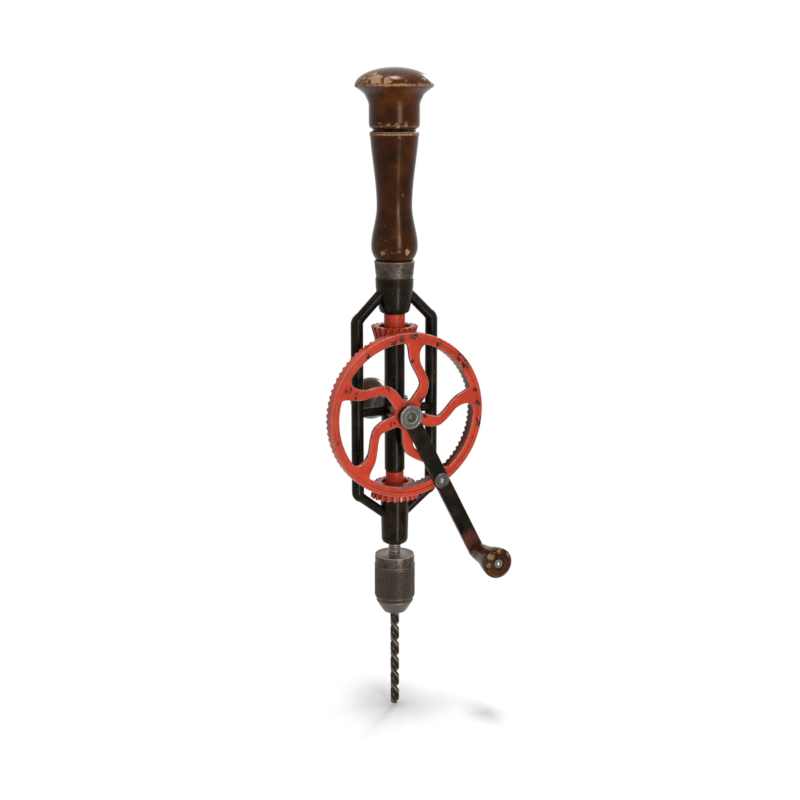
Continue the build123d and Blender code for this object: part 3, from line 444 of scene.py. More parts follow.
    def mesh(self, name: str, sharp: float = 38.0) -> bpy.types.Mesh:
        """Makes the mesh, in metres and in the part's frame.

        Args:
            name: its name.
            sharp: angle in degrees past which an edge is shaded as sharp.

        Returns:
            The mesh, closed, facing outwards and smoothly shaded.
        """
        made = bpy.data.meshes.new(name)
        made.from_pydata([(x * MM, y * MM, (z + AXLE_HEIGHT) * MM) for x, y, z in self.points], [], self.faces)
        made.attributes.new(EDGE, "FLOAT", "POINT").data.foreach_set("value", self.edges)
        work = bmesh.new()
        work.from_mesh(made)
        bmesh.ops.remove_doubles(work, verts=work.verts, dist=2e-7)
        bmesh.ops.recalc_face_normals(work, faces=work.faces)
        work.to_mesh(made)
        work.free()
        made.polygons.foreach_set("use_smooth", [True] * len(made.polygons))
        made.set_sharp_from_angle(angle=radians(sharp))
        return made


def merged_copy(node: str) -> Shape:
    """Copies a CAD node, for a piece whose form is already right.

    Args:
        node: the node.

    Returns:
        Its shape, with the doubles merged.
    """
    low = bmesh.new()
    low.from_mesh(bpy.data.objects[node].data)
    bmesh.ops.remove_doubles(low, verts=low.verts, dist=1e-6)
    plain = bpy.data.meshes.new(node + "_copy")
    low.to_mesh(plain)
    low.free()
    shape = Shape().take(plain)
    bpy.data.meshes.remove(plain)
    return shape


# ---------------------------------------------------------------- node trees
class Wire:
    """Output of a node. Sums and products of wires and numbers add their own math nodes."""

    def __init__(self, tree: "Tree", socket: bpy.types.NodeSocket) -> None:
        """Notes the socket and its tree."""
        self.tree, self.socket = tree, socket

    def __add__(self, other: "Wire | float") -> "Wire":
        """This value plus another."""
        return self.tree.maths("ADD", self, other)

    def __radd__(self, other: float) -> "Wire":
        """A number plus this value."""
        return self.tree.maths("ADD", other, self)

    def __sub__(self, other: "Wire | float") -> "Wire":
        """This value less another."""
        return self.tree.maths("SUBTRACT", self, other)

    def __rsub__(self, other: float) -> "Wire":
        """A number less this value."""
        return self.tree.maths("SUBTRACT", other, self)

    def __mul__(self, other: "Wire | float") -> "Wire":
        """This value times another."""
        return self.tree.maths("MULTIPLY", self, other)

    def __rmul__(self, other: float) -> "Wire":
        """A number times this value."""
        return self.tree.maths("MULTIPLY", other, self)

    def __truediv__(self, other: "Wire | float") -> "Wire":
        """This value divided by another."""
        return self.tree.maths("DIVIDE", self, other)

    def __rtruediv__(self, other: float) -> "Wire":
        """A number divided by this value."""
        return self.tree.maths("DIVIDE", other, self)


Value = Wire | float
Inputs = dict[str | int, object]  # wires or plain values for a node's inputs, by name or number


class Tree:
    """Node tree with short calls for adding nodes and wiring them."""

    def __init__(self, tree: bpy.types.NodeTree) -> None:
        """Takes a tree over and empties it."""
        self.tree = tree
        tree.nodes.clear()

    def node(self, kind: str, inputs: Inputs, **settings: object) -> bpy.types.Node:
        """Adds a node.

        Args:
            kind: its type.
            inputs: what goes into it.
            settings: its options.

        Returns:
            The node.
        """
        made = self.tree.nodes.new(kind)
        for key, value in settings.items():
            setattr(made, key, value)
        for key, value in inputs.items():
            socket = made.inputs[key]
            if isinstance(value, Wire):
                self.tree.links.new(value.socket, socket)
            else:
                socket.default_value = (*value, 1.0) if socket.type == "RGBA" else value
        return made

    def wire(self, kind: str, inputs: Inputs | None = None, output: str | int = 0, **settings: object) -> Wire:
        """Adds a node and returns one of its outputs."""
        return Wire(self, self.node(kind, inputs or {}, **settings).outputs[output])

    def maths(self, operation: str, *values: Value) -> Wire:
        """Adds a math node."""
        return self.wire("ShaderNodeMath", dict(enumerate(values)), operation=operation)

    def vector(self, *values: Value) -> Wire:
        """Adds a vector of the given parts."""
        return self.wire("ShaderNodeCombineXYZ", dict(enumerate(values)))

    def split(self, vector: Wire) -> list[Wire]:
        """Parts of a vector."""
        return [Wire(self, output) for output in self.node("ShaderNodeSeparateXYZ", {0: vector}).outputs]

    def mixed(self, share: Wire, first: Wire, second: Wire) -> Wire:
        """Mixes two surfaces or backgrounds."""
        return self.wire("ShaderNodeMixShader", {0: share, 1: first, 2: second})


class Pattern(Tree):
    """One geometry-node tree with named inputs."""

    def __init__(self, name: str, **inputs: str) -> None:
        """Starts the tree.

        Args:
            name: its name.
            inputs: type of each input between the geometry and the material.
        """
        super().__init__(bpy.data.node_groups.new(name, "GeometryNodeTree"))
        face = self.tree.interface
        for side in ("INPUT", "OUTPUT"):
            face.new_socket("Geometry", in_out=side, socket_type="NodeSocketGeometry")
        self.keys = {label: face.new_socket(label, in_out="INPUT", socket_type=f"NodeSocket{kind}").identifier
                     for label, kind in {**inputs, "Material": "Material"}.items()}
        given = self.node("NodeGroupInput", {}).outputs
        self.geometry, *self.given = [Wire(self, given[label]) for label in ("Geometry", *self.keys)]

    def marked(self, geometry: Wire, value: Wire) -> Wire:
        """Stores an edge value on each point."""
        return self.wire("GeometryNodeStoreNamedAttribute", {"Geometry": geometry, "Name": EDGE, "Value": value},
                         data_type="FLOAT", domain="POINT")

    def finish(self, geometry: Wire) -> "Pattern":
        """Ends the tree with plain geometry in the piece's material.

        Args:
            geometry: what it has made.

        Returns:
            The pattern itself.
        """
        plain = self.wire("GeometryNodeRealizeInstances", {"Geometry": geometry})
        dressed = self.wire("GeometryNodeSetMaterial", {"Geometry": plain, "Material": self.given[-1]})
        self.node("NodeGroupOutput", {"Geometry": dressed})
        return self

    def run(self, start: bpy.types.Mesh | None, **values: object) -> bpy.types.Mesh:
        """Runs the tree on a mesh.

        Args:
            start: the mesh that it starts from, if any.
            values: a value for each named input.

        Returns:
            The result as a plain mesh.
        """
        carrier = bpy.data.objects.new(self.tree.name, start or bpy.data.meshes.new(self.tree.name))
        bpy.context.scene.collection.objects.link(carrier)
        modifier = carrier.modifiers.new(self.tree.name, "NODES")
        modifier.node_group = self.tree
        for label, value in values.items():
            modifier[self.keys[label]] = value
        ready = carrier.evaluated_get(bpy.context.evaluated_depsgraph_get())
        result = bpy.data.meshes.new_from_object(ready)
        bpy.data.objects.remove(carrier)
        return result


def copies_around() -> Pattern:
    """Builds the tree that repeats a mesh evenly about the spindle or the axle.

    Returns:
        The pattern, with inputs Count, Upright, Middle and Material.
    """
    tree = Pattern("copies_around", Count="Int", Upright="Bool", Middle="Vector")
    count, upright, middle, _ = tree.given
    angle = tree.wire("GeometryNodeInputIndex") * (2 * pi / count)
    about_spindle = angle * upright
    away = tree.wire("ShaderNodeVectorMath", {0: middle, "Scale": -1.0}, operation="SCALE")
    return tree.finish(tree.wire("GeometryNodeInstanceOnPoints", {
        "Points": tree.wire("GeometryNodePoints", {"Count": count, "Position": middle}),
        "Instance": tree.wire("GeometryNodeTransform", {"Geometry": tree.geometry, "Translation": away}),
        "Rotation": tree.vector(0.0, angle - about_spindle, about_spindle)}))


def diamond_knurl() -> Pattern:
    """Builds the tree that covers an upright cylinder with small pyramids in a diamond pattern.

    Returns:
        The pattern, with inputs Radius, Low, High, Columns, Rows, Depth and Material.
    """
    tree = Pattern("diamond_knurl", Radius="Float", Low="Float", High="Float", Columns="Int", Rows="Int",
                   Depth="Float")
    radius, low, high, columns, rows, depth, _ = tree.given
    index = tree.wire("GeometryNodeInputIndex")
    row = tree.maths("FLOOR", (index + 0.5) / columns)
    turn = 2 * pi / columns
    angle = (index - row * columns + tree.maths("MODULO", row, 2.0) * 0.5) * turn
    rise = (high - low) / rows
    place = tree.vector(radius * tree.maths("COSINE", angle), radius * tree.maths("SINE", angle),
                        low + (row + 0.5) * rise)
    pyramid = tree.wire("GeometryNodeMeshCone", {"Vertices": 4, "Radius Top": 0.34, "Radius Bottom": 1.0,
                                                 "Depth": 1.0}, fill_type="NGON")
    lift = tree.split(tree.wire("GeometryNodeInputPosition"))[2]
    return tree.finish(tree.wire("GeometryNodeInstanceOnPoints", {
        "Points": tree.wire("GeometryNodePoints", {"Count": columns * rows, "Position": place}),
        "Instance": tree.marked(pyramid, lift * 2.0 - 1.0),
        "Rotation": tree.vector(0.0, pi / 2, angle), "Scale": tree.vector(rise, radius * turn * 0.5, depth)}))


def screw_thread() -> Pattern:
    """Builds the tree that winds a thread round the spindle line.

    Returns:
        The pattern, with inputs Radius, Low, High, Pitch, Size and Material.
    """
    tree = Pattern("screw_thread", Radius="Float", Low="Float", High="Float", Pitch="Float", Size="Float")
    radius, low, high, pitch, size, _ = tree.given
    winding = tree.wire("GeometryNodeCurveSpiral", {
        "Resolution": 40, "Rotations": (high - low) / pitch, "Start Radius": radius, "End Radius": radius,
        "Height": high - low})
    section = tree.wire("GeometryNodeCurvePrimitiveCircle", {"Resolution": 6, "Radius": size})
    swept = tree.wire("GeometryNodeCurveToMesh", {"Curve": winding, "Profile Curve": section, "Fill Caps": True})
    x, y, _ = tree.split(tree.wire("GeometryNodeInputPosition"))
    reach = tree.maths("SQRT", x * x + y * y)
    return tree.finish(tree.wire("GeometryNodeTransform", {
        "Geometry": tree.marked(swept, (reach - radius) / size), "Translation": tree.vector(0.0, 0.0, low)}))


# ---------------------------------------------------------------- finishes
class Shader(Tree):
    """Node tree of one material, with short calls for the nodes that the finishes share."""

    def __init__(self, name: str) -> None:
        """Starts an empty material.

        Args:
            name: its name.
        """
        self.material = bpy.data.materials.new(name)
        self.material.use_nodes = True
        super().__init__(self.material.node_tree)
        self.place = self.wire("ShaderNodeTexCoord", output="Object")

    def stretched(self, scale: Colour, shift: Colour = (0.0, 0.0, 0.0)) -> Wire:
        """Object coordinates scaled along each axis and moved."""
        return self.wire("ShaderNodeMapping", {"Vector": self.place, "Scale": scale, "Location": shift})

    def noise(self, size: float, detail: float = 4.0, rough: float = 0.55, warp: float = 0.0,
              vector: Wire | None = None, output: str = "Fac") -> Wire:
        """Adds noise.

        Args:
            size: size of its features in millimetres.
            detail: octaves.
            rough: strength of the finer octaves.
            warp: distortion.
            vector: coordinates; the object's own if none.
            output: its value or its colour.

        Returns:
            The noise between 0 and 1.
        """
        return self.wire("ShaderNodeTexNoise", {
            "Vector": vector or self.place, "Scale": 1 / (size * MM), "Detail": detail, "Roughness": rough,
            "Distortion": warp}, output)

    def between(self, value: Value, low: float, high: float) -> Wire:
        """Smooth step of a value from 0 at low to 1 at high."""
        return self.wire("ShaderNodeMapRange", {"Value": value, "From Min": low, "From Max": high},
                         interpolation_type="SMOOTHSTEP")

    def mix(self, share: Value, first: Wire | Colour, second: Wire | Colour) -> Wire:
        """Mixes two colours."""
        return self.wire("ShaderNodeMix", {0: share, 6: first, 7: second}, 2, data_type="RGBA")

    def edges(self) -> tuple[Wire, Wire]:
        """How far the place lies on an outer edge, and how far in an inner corner."""
        edge = self.wire("ShaderNodeAttribute", output="Fac", attribute_name=EDGE)
        return self.maths("MAXIMUM", edge, 0.0), self.maths("MAXIMUM", edge * -1.0, 0.0)

    def spots(self, spots: Iterable[Mark], warp: float) -> Value:
        """Ragged patches round given places.

        Args:
            spots: (x, y, z, radius) in millimetres from the axle.
            warp: how ragged they are, in millimetres.

        Returns:
            Their cover between 0 and 1.
        """
        cover: Value = 0.0
        moved = self.wire("ShaderNodeVectorMath", {0: self.noise(4.0, rough=0.5, output="Color"),
                                                   1: (2 * warp * MM,) * 3, 2: self.place}, operation="MULTIPLY_ADD")
        for x, y, z, radius in spots:
            centre = ((x + warp) * MM, (y + warp) * MM, (z + AXLE_HEIGHT + warp) * MM)
            reach = self.wire("ShaderNodeVectorMath", {0: moved, 1: centre}, "Value", operation="DISTANCE")
            cover = self.maths("MAXIMUM", self.between(reach, radius * MM, radius * 0.35 * MM), cover)
        return cover

    def rings(self, turn: Turn, centre: Point, size: float) -> Wire:
        """Fine turning marks about an axis.

        Args:
            turn: the axis.
            centre: (x, z) of an axle-wise axis.
            size: width of a mark in millimetres.

        Returns:
            The marks between 0 and 1.
        """
        first, second, along = self.split(self.place)
        if turn is Turn.FORWARD:
            first, second, along = first - centre[0] * MM, along - (centre[1] + AXLE_HEIGHT) * MM, second
        radius = self.maths("SQRT", first * first + second * second)
        return self.noise(size, 3.0, 0.7, vector=self.vector(radius, along))

    def bump(self, height: Wire, depth: float, under: Wire | None = None) -> Wire:
        """Adds a bump.

        Args:
            height: its height between 0 and 1.
            depth: its full depth in millimetres.
            under: normal of a coarser bump.

        Returns:
            The normal.
        """
        coarser = {"Normal": under} if under else {}
        return self.wire("ShaderNodeBump", {"Distance": depth * MM, "Height": height, **coarser})

    def finish(self, colour: Wire, roughness: Wire, metal: Value, normal: Wire, specular: float = 0.5,
               tint: Colour = WHITE) -> bpy.types.Material:
        """Ends the tree with its surface.

        Args:
            colour: base colour.
            roughness: roughness.
            metal: share of metal.
            normal: normal.
            specular: strength of the reflection.
            tint: colour of the reflection.

        Returns:
            The material.
        """
        surface = self.wire("ShaderNodeBsdfPrincipled", {
            "Base Color": colour, "Roughness": roughness, "Metallic": metal, "Normal": normal,
            "Specular IOR Level": specular, "Specular Tint": tint})
        self.node("ShaderNodeOutputMaterial", {"Surface": surface})
        return self.material


def darker(colour: Colour, share: float) -> Colour:
    """Colour brought down to a share of its brightness."""
    return tuple(part * share for part in colour)


@dataclass(frozen=True)
class Paint:
    """Old enamel with chips, rubbed edges that also carry painted highlights, grime with painted shade in its corners
    and on its walls, and rust in places.
    """

    name: str
    colour: Colour
    shade: Colour
    # colour of grime, which also paints shade in inner corners and on walls
    grime_and_shade: Colour
    chipped: Colour
    # pale colour of rubbed edges, which also paints highlights along them
    rubbed: Colour
    gloss: float = 0.3
    specular: float = 0.25
    tint: Colour = WHITE
    chip_level: float = 0.71
    rub_highlight_level: float = 0.85
    mottle: float = 0.5
    dust: float = 0.1
    chips: tuple[Mark, ...] = ()
    rust: tuple[Mark, ...] = ()
    rust_colour: Colour = (0.14, 0.046, 0.03)

    def material(self) -> bpy.types.Material:
        """Builds the material.

        Returns:
            The material.
        """
        s = Shader(self.name)
        outer, inner = s.edges()
        cloud, speckle, fine = s.noise(9.0, 5.0, 0.6), s.noise(1.6, 5.0, 0.65), s.noise(0.5, 3.0, 0.6)
        tone = s.mix(s.between(cloud, 0.4, 0.7) * self.mottle, self.colour, self.shade)
        # painted shade: inner corners and walls go towards the grime colour, made ragged by speckle, which also lays
        # real grime at random
        tone = s.mix(s.between((speckle - 0.5) * 1.5 + inner * 0.75, 0.2, 0.85), tone, self.grime_and_shade)
        dust = s.between(s.noise(0.9, 4.0, 0.75), 0.52, 0.72) * s.between(cloud, 0.35, 0.65)
        tone = s.mix(dust * self.dust, tone, self.chipped)
        seed = s.noise(2.3, 6.0, 0.72, 0.5) + outer * 0.05 + s.spots(self.chips, 1.2) * 0.21
        chips = s.between(seed, self.chip_level - 0.012, self.chip_level + 0.012)
        # rubbed edges with painted highlights: outer edges turn pale in the rubbed colour, partly real wear, partly
        # painted highlight along rims, beads and spoke edges
        rub_and_highlight = s.between(outer + (speckle - 0.5) * 1.6, self.rub_highlight_level - 0.12, self.rub_highlight_level + 0.12)
        rusty = s.spots(self.rust, 2.0) * s.between(speckle, 0.1, 0.75)
        colour = s.mix(rusty, s.mix(rub_and_highlight, s.mix(chips, tone, self.chipped), self.rubbed), self.rust_colour)
        roughness = s.maths("MAXIMUM", chips, rusty) * 0.3 + (self.gloss - 0.08) + fine * 0.16
        depth = 1.0 - s.maths("MAXIMUM", chips, rub_and_highlight * 0.5)
        normal = s.bump(depth, 0.14, s.bump(s.noise(1.1, 3.0, 0.5), 0.04))
        return s.finish(colour, roughness, rub_and_highlight * 0.35, normal, self.specular, self.tint)


@dataclass(frozen=True)
class Wood:
    """Dark lacquered hardwood, rubbed through to bare wood in places, with painted shade in its inner corners."""

    name: str
    deep: Colour
    warm: Colour
    bare: Colour
    grain: Colour = (1.0, 1.0, 0.07)
    gloss: float = 0.15
    specular: float = 0.17
    tint: Colour = (1.0, 0.72, 0.5)
    edge_level: float = 0.78
    wear_level: float = 0.72
    patches: tuple[Mark, ...] = ()
    flecks: tuple[Mark, ...] = ()

    def material(self) -> bpy.types.Material:
        """Builds the material.

        Returns:
            The material.
        """
        s = Shader(self.name)
        outer, inner = s.edges()
        streaks = s.noise(0.9, 5.0, 0.6, 0.6, s.stretched(self.grain))
        pores = s.noise(0.28, 3.0, 0.7, 0.0, s.stretched(self.grain, (3.0, 1.0, 2.0)))
        lacquer = s.mix(s.between(streaks * 0.22 + s.noise(16.0, 4.0, 0.6) * 0.85, 0.36, 0.76), self.deep, self.warm)
        broad, fine = s.noise(2.6, 6.0, 0.7, 0.5), s.noise(0.8, 4.0, 0.7, 0.3)
        pale = s.mix(s.between(streaks * 0.5 + fine * 0.5, 0.4, 0.62), self.bare, darker(self.bare, 0.4))
        patchy = broad * 0.62 + fine * 0.38
        marked = s.spots(self.patches, 2.0) * 0.21 + s.spots(self.flecks, 2.0) * 0.12
        rubbed = s.between(patchy + marked, self.wear_level - 0.05, self.wear_level + 0.03)
        line = s.between(outer + (patchy - 0.5) * 2.4, self.edge_level - 0.16, self.edge_level + 0.12)
        worn = s.maths("MAXIMUM", rubbed, line)
        # painted shade: inner corners such as the grooves go towards a darker deep colour
        colour = s.mix(inner * 0.8, s.mix(worn, lacquer, pale), darker(self.deep, 0.35))
        roughness = self.gloss + (worn * 0.34 + s.noise(1.2, 4.0) * 0.12)
        normal = s.bump(1.0 - worn, 0.1, s.bump(pores, 0.02, s.bump(s.noise(6.0, 2.0, 0.5), 0.05)))
        return s.finish(colour, roughness, 0.0, normal, self.specular, self.tint)


@dataclass(frozen=True)
class Steel:
    """Turned steel with turning marks, brown age, and brighter worn edges that also paint highlights where the edge
    values are set for it.
    """

    name: str
    colour: Colour
    aged: Colour
    # colour of worn edges, which also paints highlights
    bright: Colour
    roughness: float = 0.42
    age_low: float = 0.42
    age_high: float = 0.62
    turn: Turn = Turn.UP
    centre: Point = (0.0, 0.0)
    mark: float = 0.35
    metal: float = 0.9

    def material(self) -> bpy.types.Material:
        """Builds the material.

        Returns:
            The material.
        """
        s = Shader(self.name)
        outer, inner = s.edges()
        marks = s.rings(self.turn, self.centre, self.mark)
        blots, fine = s.noise(5.0, 6.0, 0.68, 0.3), s.noise(0.7, 4.0, 0.6)
        aged = s.maths("MAXIMUM", s.between(blots, self.age_low, self.age_high), inner * 0.9)
        tone = s.mix(s.between(marks, 0.35, 0.7) * 0.35, self.colour, darker(self.colour, 0.6))
        # edges go towards the bright colour: worn edges, and painted highlights on the drill's lands and the chuck
        # plate's top face
        wear_and_highlight = s.between(outer + (fine - 0.5) * 0.8, 0.45, 0.85)
        colour = s.mix(wear_and_highlight, s.mix(aged, tone, self.aged), self.bright)
        roughness = self.roughness - 0.1 + fine * 0.2 + aged * 0.12
        return s.finish(colour, roughness, self.metal - aged * 0.25, s.bump(marks, 0.02, s.bump(blots, 0.08)))


def facing(*spots: Mark) -> tuple[Mark, ...]:
    """Places spots that are given as seen from the front left.

    Args:
        spots: (across to the right, ahead towards the viewer, height, radius) of each.

    Returns:
        Their (x, y, z, radius).
    """
    sine, cosine = sin(CAMERA_TURN), cos(CAMERA_TURN)
    return tuple((u * cosine - v * sine, -u * sine - v * cosine, z, r) for u, v, z, r in spots)


class Finishes:
    """Every finish of the drill, built once and handed out by slot and by name."""

    wheel_face: float = -22.0
    wheel_chips: tuple[tuple[float, float, float], ...] = (  # x, z and radius
        (-4.0, 53.5, 5.0), (4.0, 55.5, 5.0), (-11.0, 51.5, 4.0), (40.0, 39.0, 6.5), (45.0, 33.0, 6.0),
        (55.0, -9.0, 6.0), (54.0, 4.0, 4.0), (3.5, 37.5, 3.0), (-31.0, -26.0, 3.5), (-45.0, 22.0, 5.0),
        (-38.0, 17.0, 3.5), (-12.0, -5.0, 4.0), (-15.0, 20.0, 4.5), (10.0, 10.0, 4.0), (-52.0, -14.0, 3.0),
        (14.0, -1.0, 3.5), (-23.0, 45.0, 3.5), (23.0, 48.0, 3.0), (-30.0, 44.0, 3.0), (52.0, 14.0, 3.0))
    handle_patches: tuple[Mark, ...] = facing(
        (-24, 8, 225, 8), (-19, 16.5, 225.5, 8.5), (-12, 21.5, 225.5, 6.5), (-15, 15, 229.5, 5.5),
        (-4, 25, 223.5, 4.5), (-14, 6, 114, 3.6), (9, 13, 112, 3), (-8, 14, 111, 3), (-9, 15, 196.3, 3.5),
        (-4, 17, 196.2, 3.5), (2, 17, 196.2, 3.5), (8, 15, 196.4, 3.5))
    handle_flecks: tuple[Mark, ...] = facing(
        (-8, 20, 227, 11), (6, 22, 226, 12), (17, 16, 225, 10), (-18, 5, 230, 9), (0, 12, 232, 9),
        (-5, 15, 121, 9), (-8, 13, 131, 9), (2, 15, 127, 7), (5, 13, 134, 8), (3, 12, 170, 7), (4, 12, 151, 7),
        (-3, 15, 111, 8), (10, 12, 113, 8), (-10, 12, 116, 7))

    def __init__(self) -> None:
        """Builds the materials."""
        x, z = KNOB_AXIS
        chips = tuple((across, self.wheel_face, up, radius) for across, up, radius in self.wheel_chips)
        rust = ((x - 5, -24, z + 9, 11.0), (x - 2, -24, z + 2, 9.0))
        rubbed = ((x - 6, -57, z + 6, 4.2), (x - 8.5, -57, z, 3.0), (x, -57, z + 9, 3.0), (x + 7, -57, z + 6, 2.4))
        wood = Wood("lacquered_wood", (0.01, 0.0018, 0.0002), (0.058, 0.0122, 0.0009), (0.44, 0.25, 0.14),
                    patches=self.handle_patches, flecks=self.handle_flecks)
        # Paint colours go: colour, mottled tone, grime that also paints shade in corners and on walls, chipped, rubbed
        # that also paints highlights on edges. Steel colours go: colour, aged, bright that also paints highlights on
        # the drill's lands and the chuck plate's top face.
        made = {
            Slot.RED: Paint("red_enamel", (0.5, 0.042, 0.017), (0.3, 0.024, 0.011), (0.045, 0.012, 0.008),
                            (0.016, 0.008, 0.007), (0.34, 0.17, 0.12), specular=0.16, mottle=0.65, chips=chips),
            Slot.BLACK: Paint("black_enamel", (0.0026, 0.002, 0.0014), (0.015, 0.009, 0.0048),
                              (0.003, 0.0022, 0.0018), (0.05, 0.031, 0.018), (0.085, 0.062, 0.043), gloss=0.25,
                              specular=0.1, tint=(1.0, 0.86, 0.72), chip_level=0.64, rub_highlight_level=0.95, mottle=0.9,
                              dust=0.8, rust=rust),
            Slot.WOOD: wood,
            Slot.KNOB_WOOD: Wood("knob_wood", (0.016, 0.0048, 0.0014), (0.065, 0.023, 0.0075), (0.26, 0.15, 0.08),
                                 grain=(1.0, 0.07, 1.0), gloss=0.18, specular=0.1, edge_level=1.0, wear_level=0.66,
                                 patches=rubbed),
            Slot.DARK_STEEL: Steel("aged_steel", (0.078, 0.061, 0.046), (0.022, 0.015, 0.009), (0.32, 0.25, 0.21)),
            Slot.KNURLED: Steel("knurled_steel", (0.06, 0.044, 0.032), (0.026, 0.018, 0.012), (0.16, 0.135, 0.108),
                                roughness=0.4),
            Slot.BRIGHT_STEEL: Steel("bright_steel", (0.088, 0.082, 0.072), (0.042, 0.035, 0.028), (0.5, 0.47, 0.43),
                                     roughness=0.3, age_low=0.5, age_high=0.75, turn=Turn.FORWARD),
            Slot.BRONZE: Steel("bearing_bronze", (0.5, 0.31, 0.14), (0.24, 0.14, 0.06), (0.75, 0.55, 0.3)),
            Slot.HARD_STEEL: Steel("polished_steel", (0.58, 0.57, 0.56), (0.4, 0.39, 0.38), (0.8, 0.8, 0.8),
                                   roughness=0.2),
            Slot.DRILL_STEEL: Steel("drill_steel", (0.05, 0.038, 0.027), (0.017, 0.012, 0.009), (0.36, 0.27, 0.18),
                                    roughness=0.28),
        }
        self.cap_wood = replace(wood, name="cap_wood", deep=(0.022, 0.0046, 0.0005), warm=(0.095, 0.022, 0.0022),
                                gloss=0.17).material()
        self.nose = Steel("nose_steel", (0.125, 0.112, 0.086), (0.1, 0.088, 0.067), (0.2, 0.18, 0.15),
                          roughness=0.45, age_low=0.45, age_high=0.8).material()
        self.by_slot = {slot: finish.material() for slot, finish in made.items()}
        self.knob_pin = Steel("knob_pin_steel", (0.17, 0.162, 0.15), (0.12, 0.11, 0.1), (0.5, 0.48, 0.45),
                              roughness=0.24, turn=Turn.FORWARD, centre=KNOB_AXIS, age_low=0.55,
                              age_high=0.8).material()

    def __getitem__(self, slot: Slot) -> bpy.types.Material:
        """Material of a slot."""
        return self.by_slot[slot]


# ---------------------------------------------------------------- the drill
@dataclass
class Assembly:
    """What every sub-assembly shares: its finishes and how a piece joins the part."""

    finishes: Finishes

    def piece(self, shape: Shape, node: str, slot: Slot, body: str = "frame", sharp: float = 38.0,
              material: bpy.types.Material | None = None) -> None:
        """Turns a shape into a finished piece that stands for a CAD node.

        Args:
            shape: the shape.
            node: the node that it stands for.
            slot: its material slot.
            body: the body that it rides on.
            sharp: angle past which its edges are shaded as sharp.
            material: its material, if not the slot's own.
        """
        mesh = shape.mesh(f"{node}_dressed", sharp)
        mesh.materials.append(material or self.finishes[slot])
        made = bpy.data.objects.new(mesh.name, mesh)
        bpy.context.scene.collection.objects.link(made)
        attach(made, body)
        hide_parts(node)
        LOG.info("%s: %d faces, rides on %s", made.name, len(mesh.polygons), body)

    def lathe(self, corners: Corners, node: str, slot: Slot, turn: Turn = Turn.UP, centre: Point = (0.0, 0.0),
              closed: bool = True, segments: int = 96, **rest: Any) -> None:
        """Builds a turned piece.

        Args:
            corners: corners of its outline.
            node: the node that it stands for.
            slot: its material slot.
            turn: its axis.
            centre: (x, z) of an axle-wise axis.
            closed: whether the outline is a ring of its own; otherwise it starts and ends on the axis.
            segments: facets round the axis.
            rest: what else the piece needs.
        """
        shape = Shape().turned(rounded(corners, closed), turn, centre, closed, segments)
        self.piece(shape, node, slot, **rest)


@dataclass(frozen=True)
class Pinion:
    """Sizes of one pinion and where it belongs."""

    node: str
    body: str
    start: float  # small end of its teeth, from the gear apex
    sign: int  # 1 above the axle, -1 below it
    bore: float
    dish: float  # outer radius of its dished face
    collar: float
    rise: float  # of the collar above the face
    collar_round: float


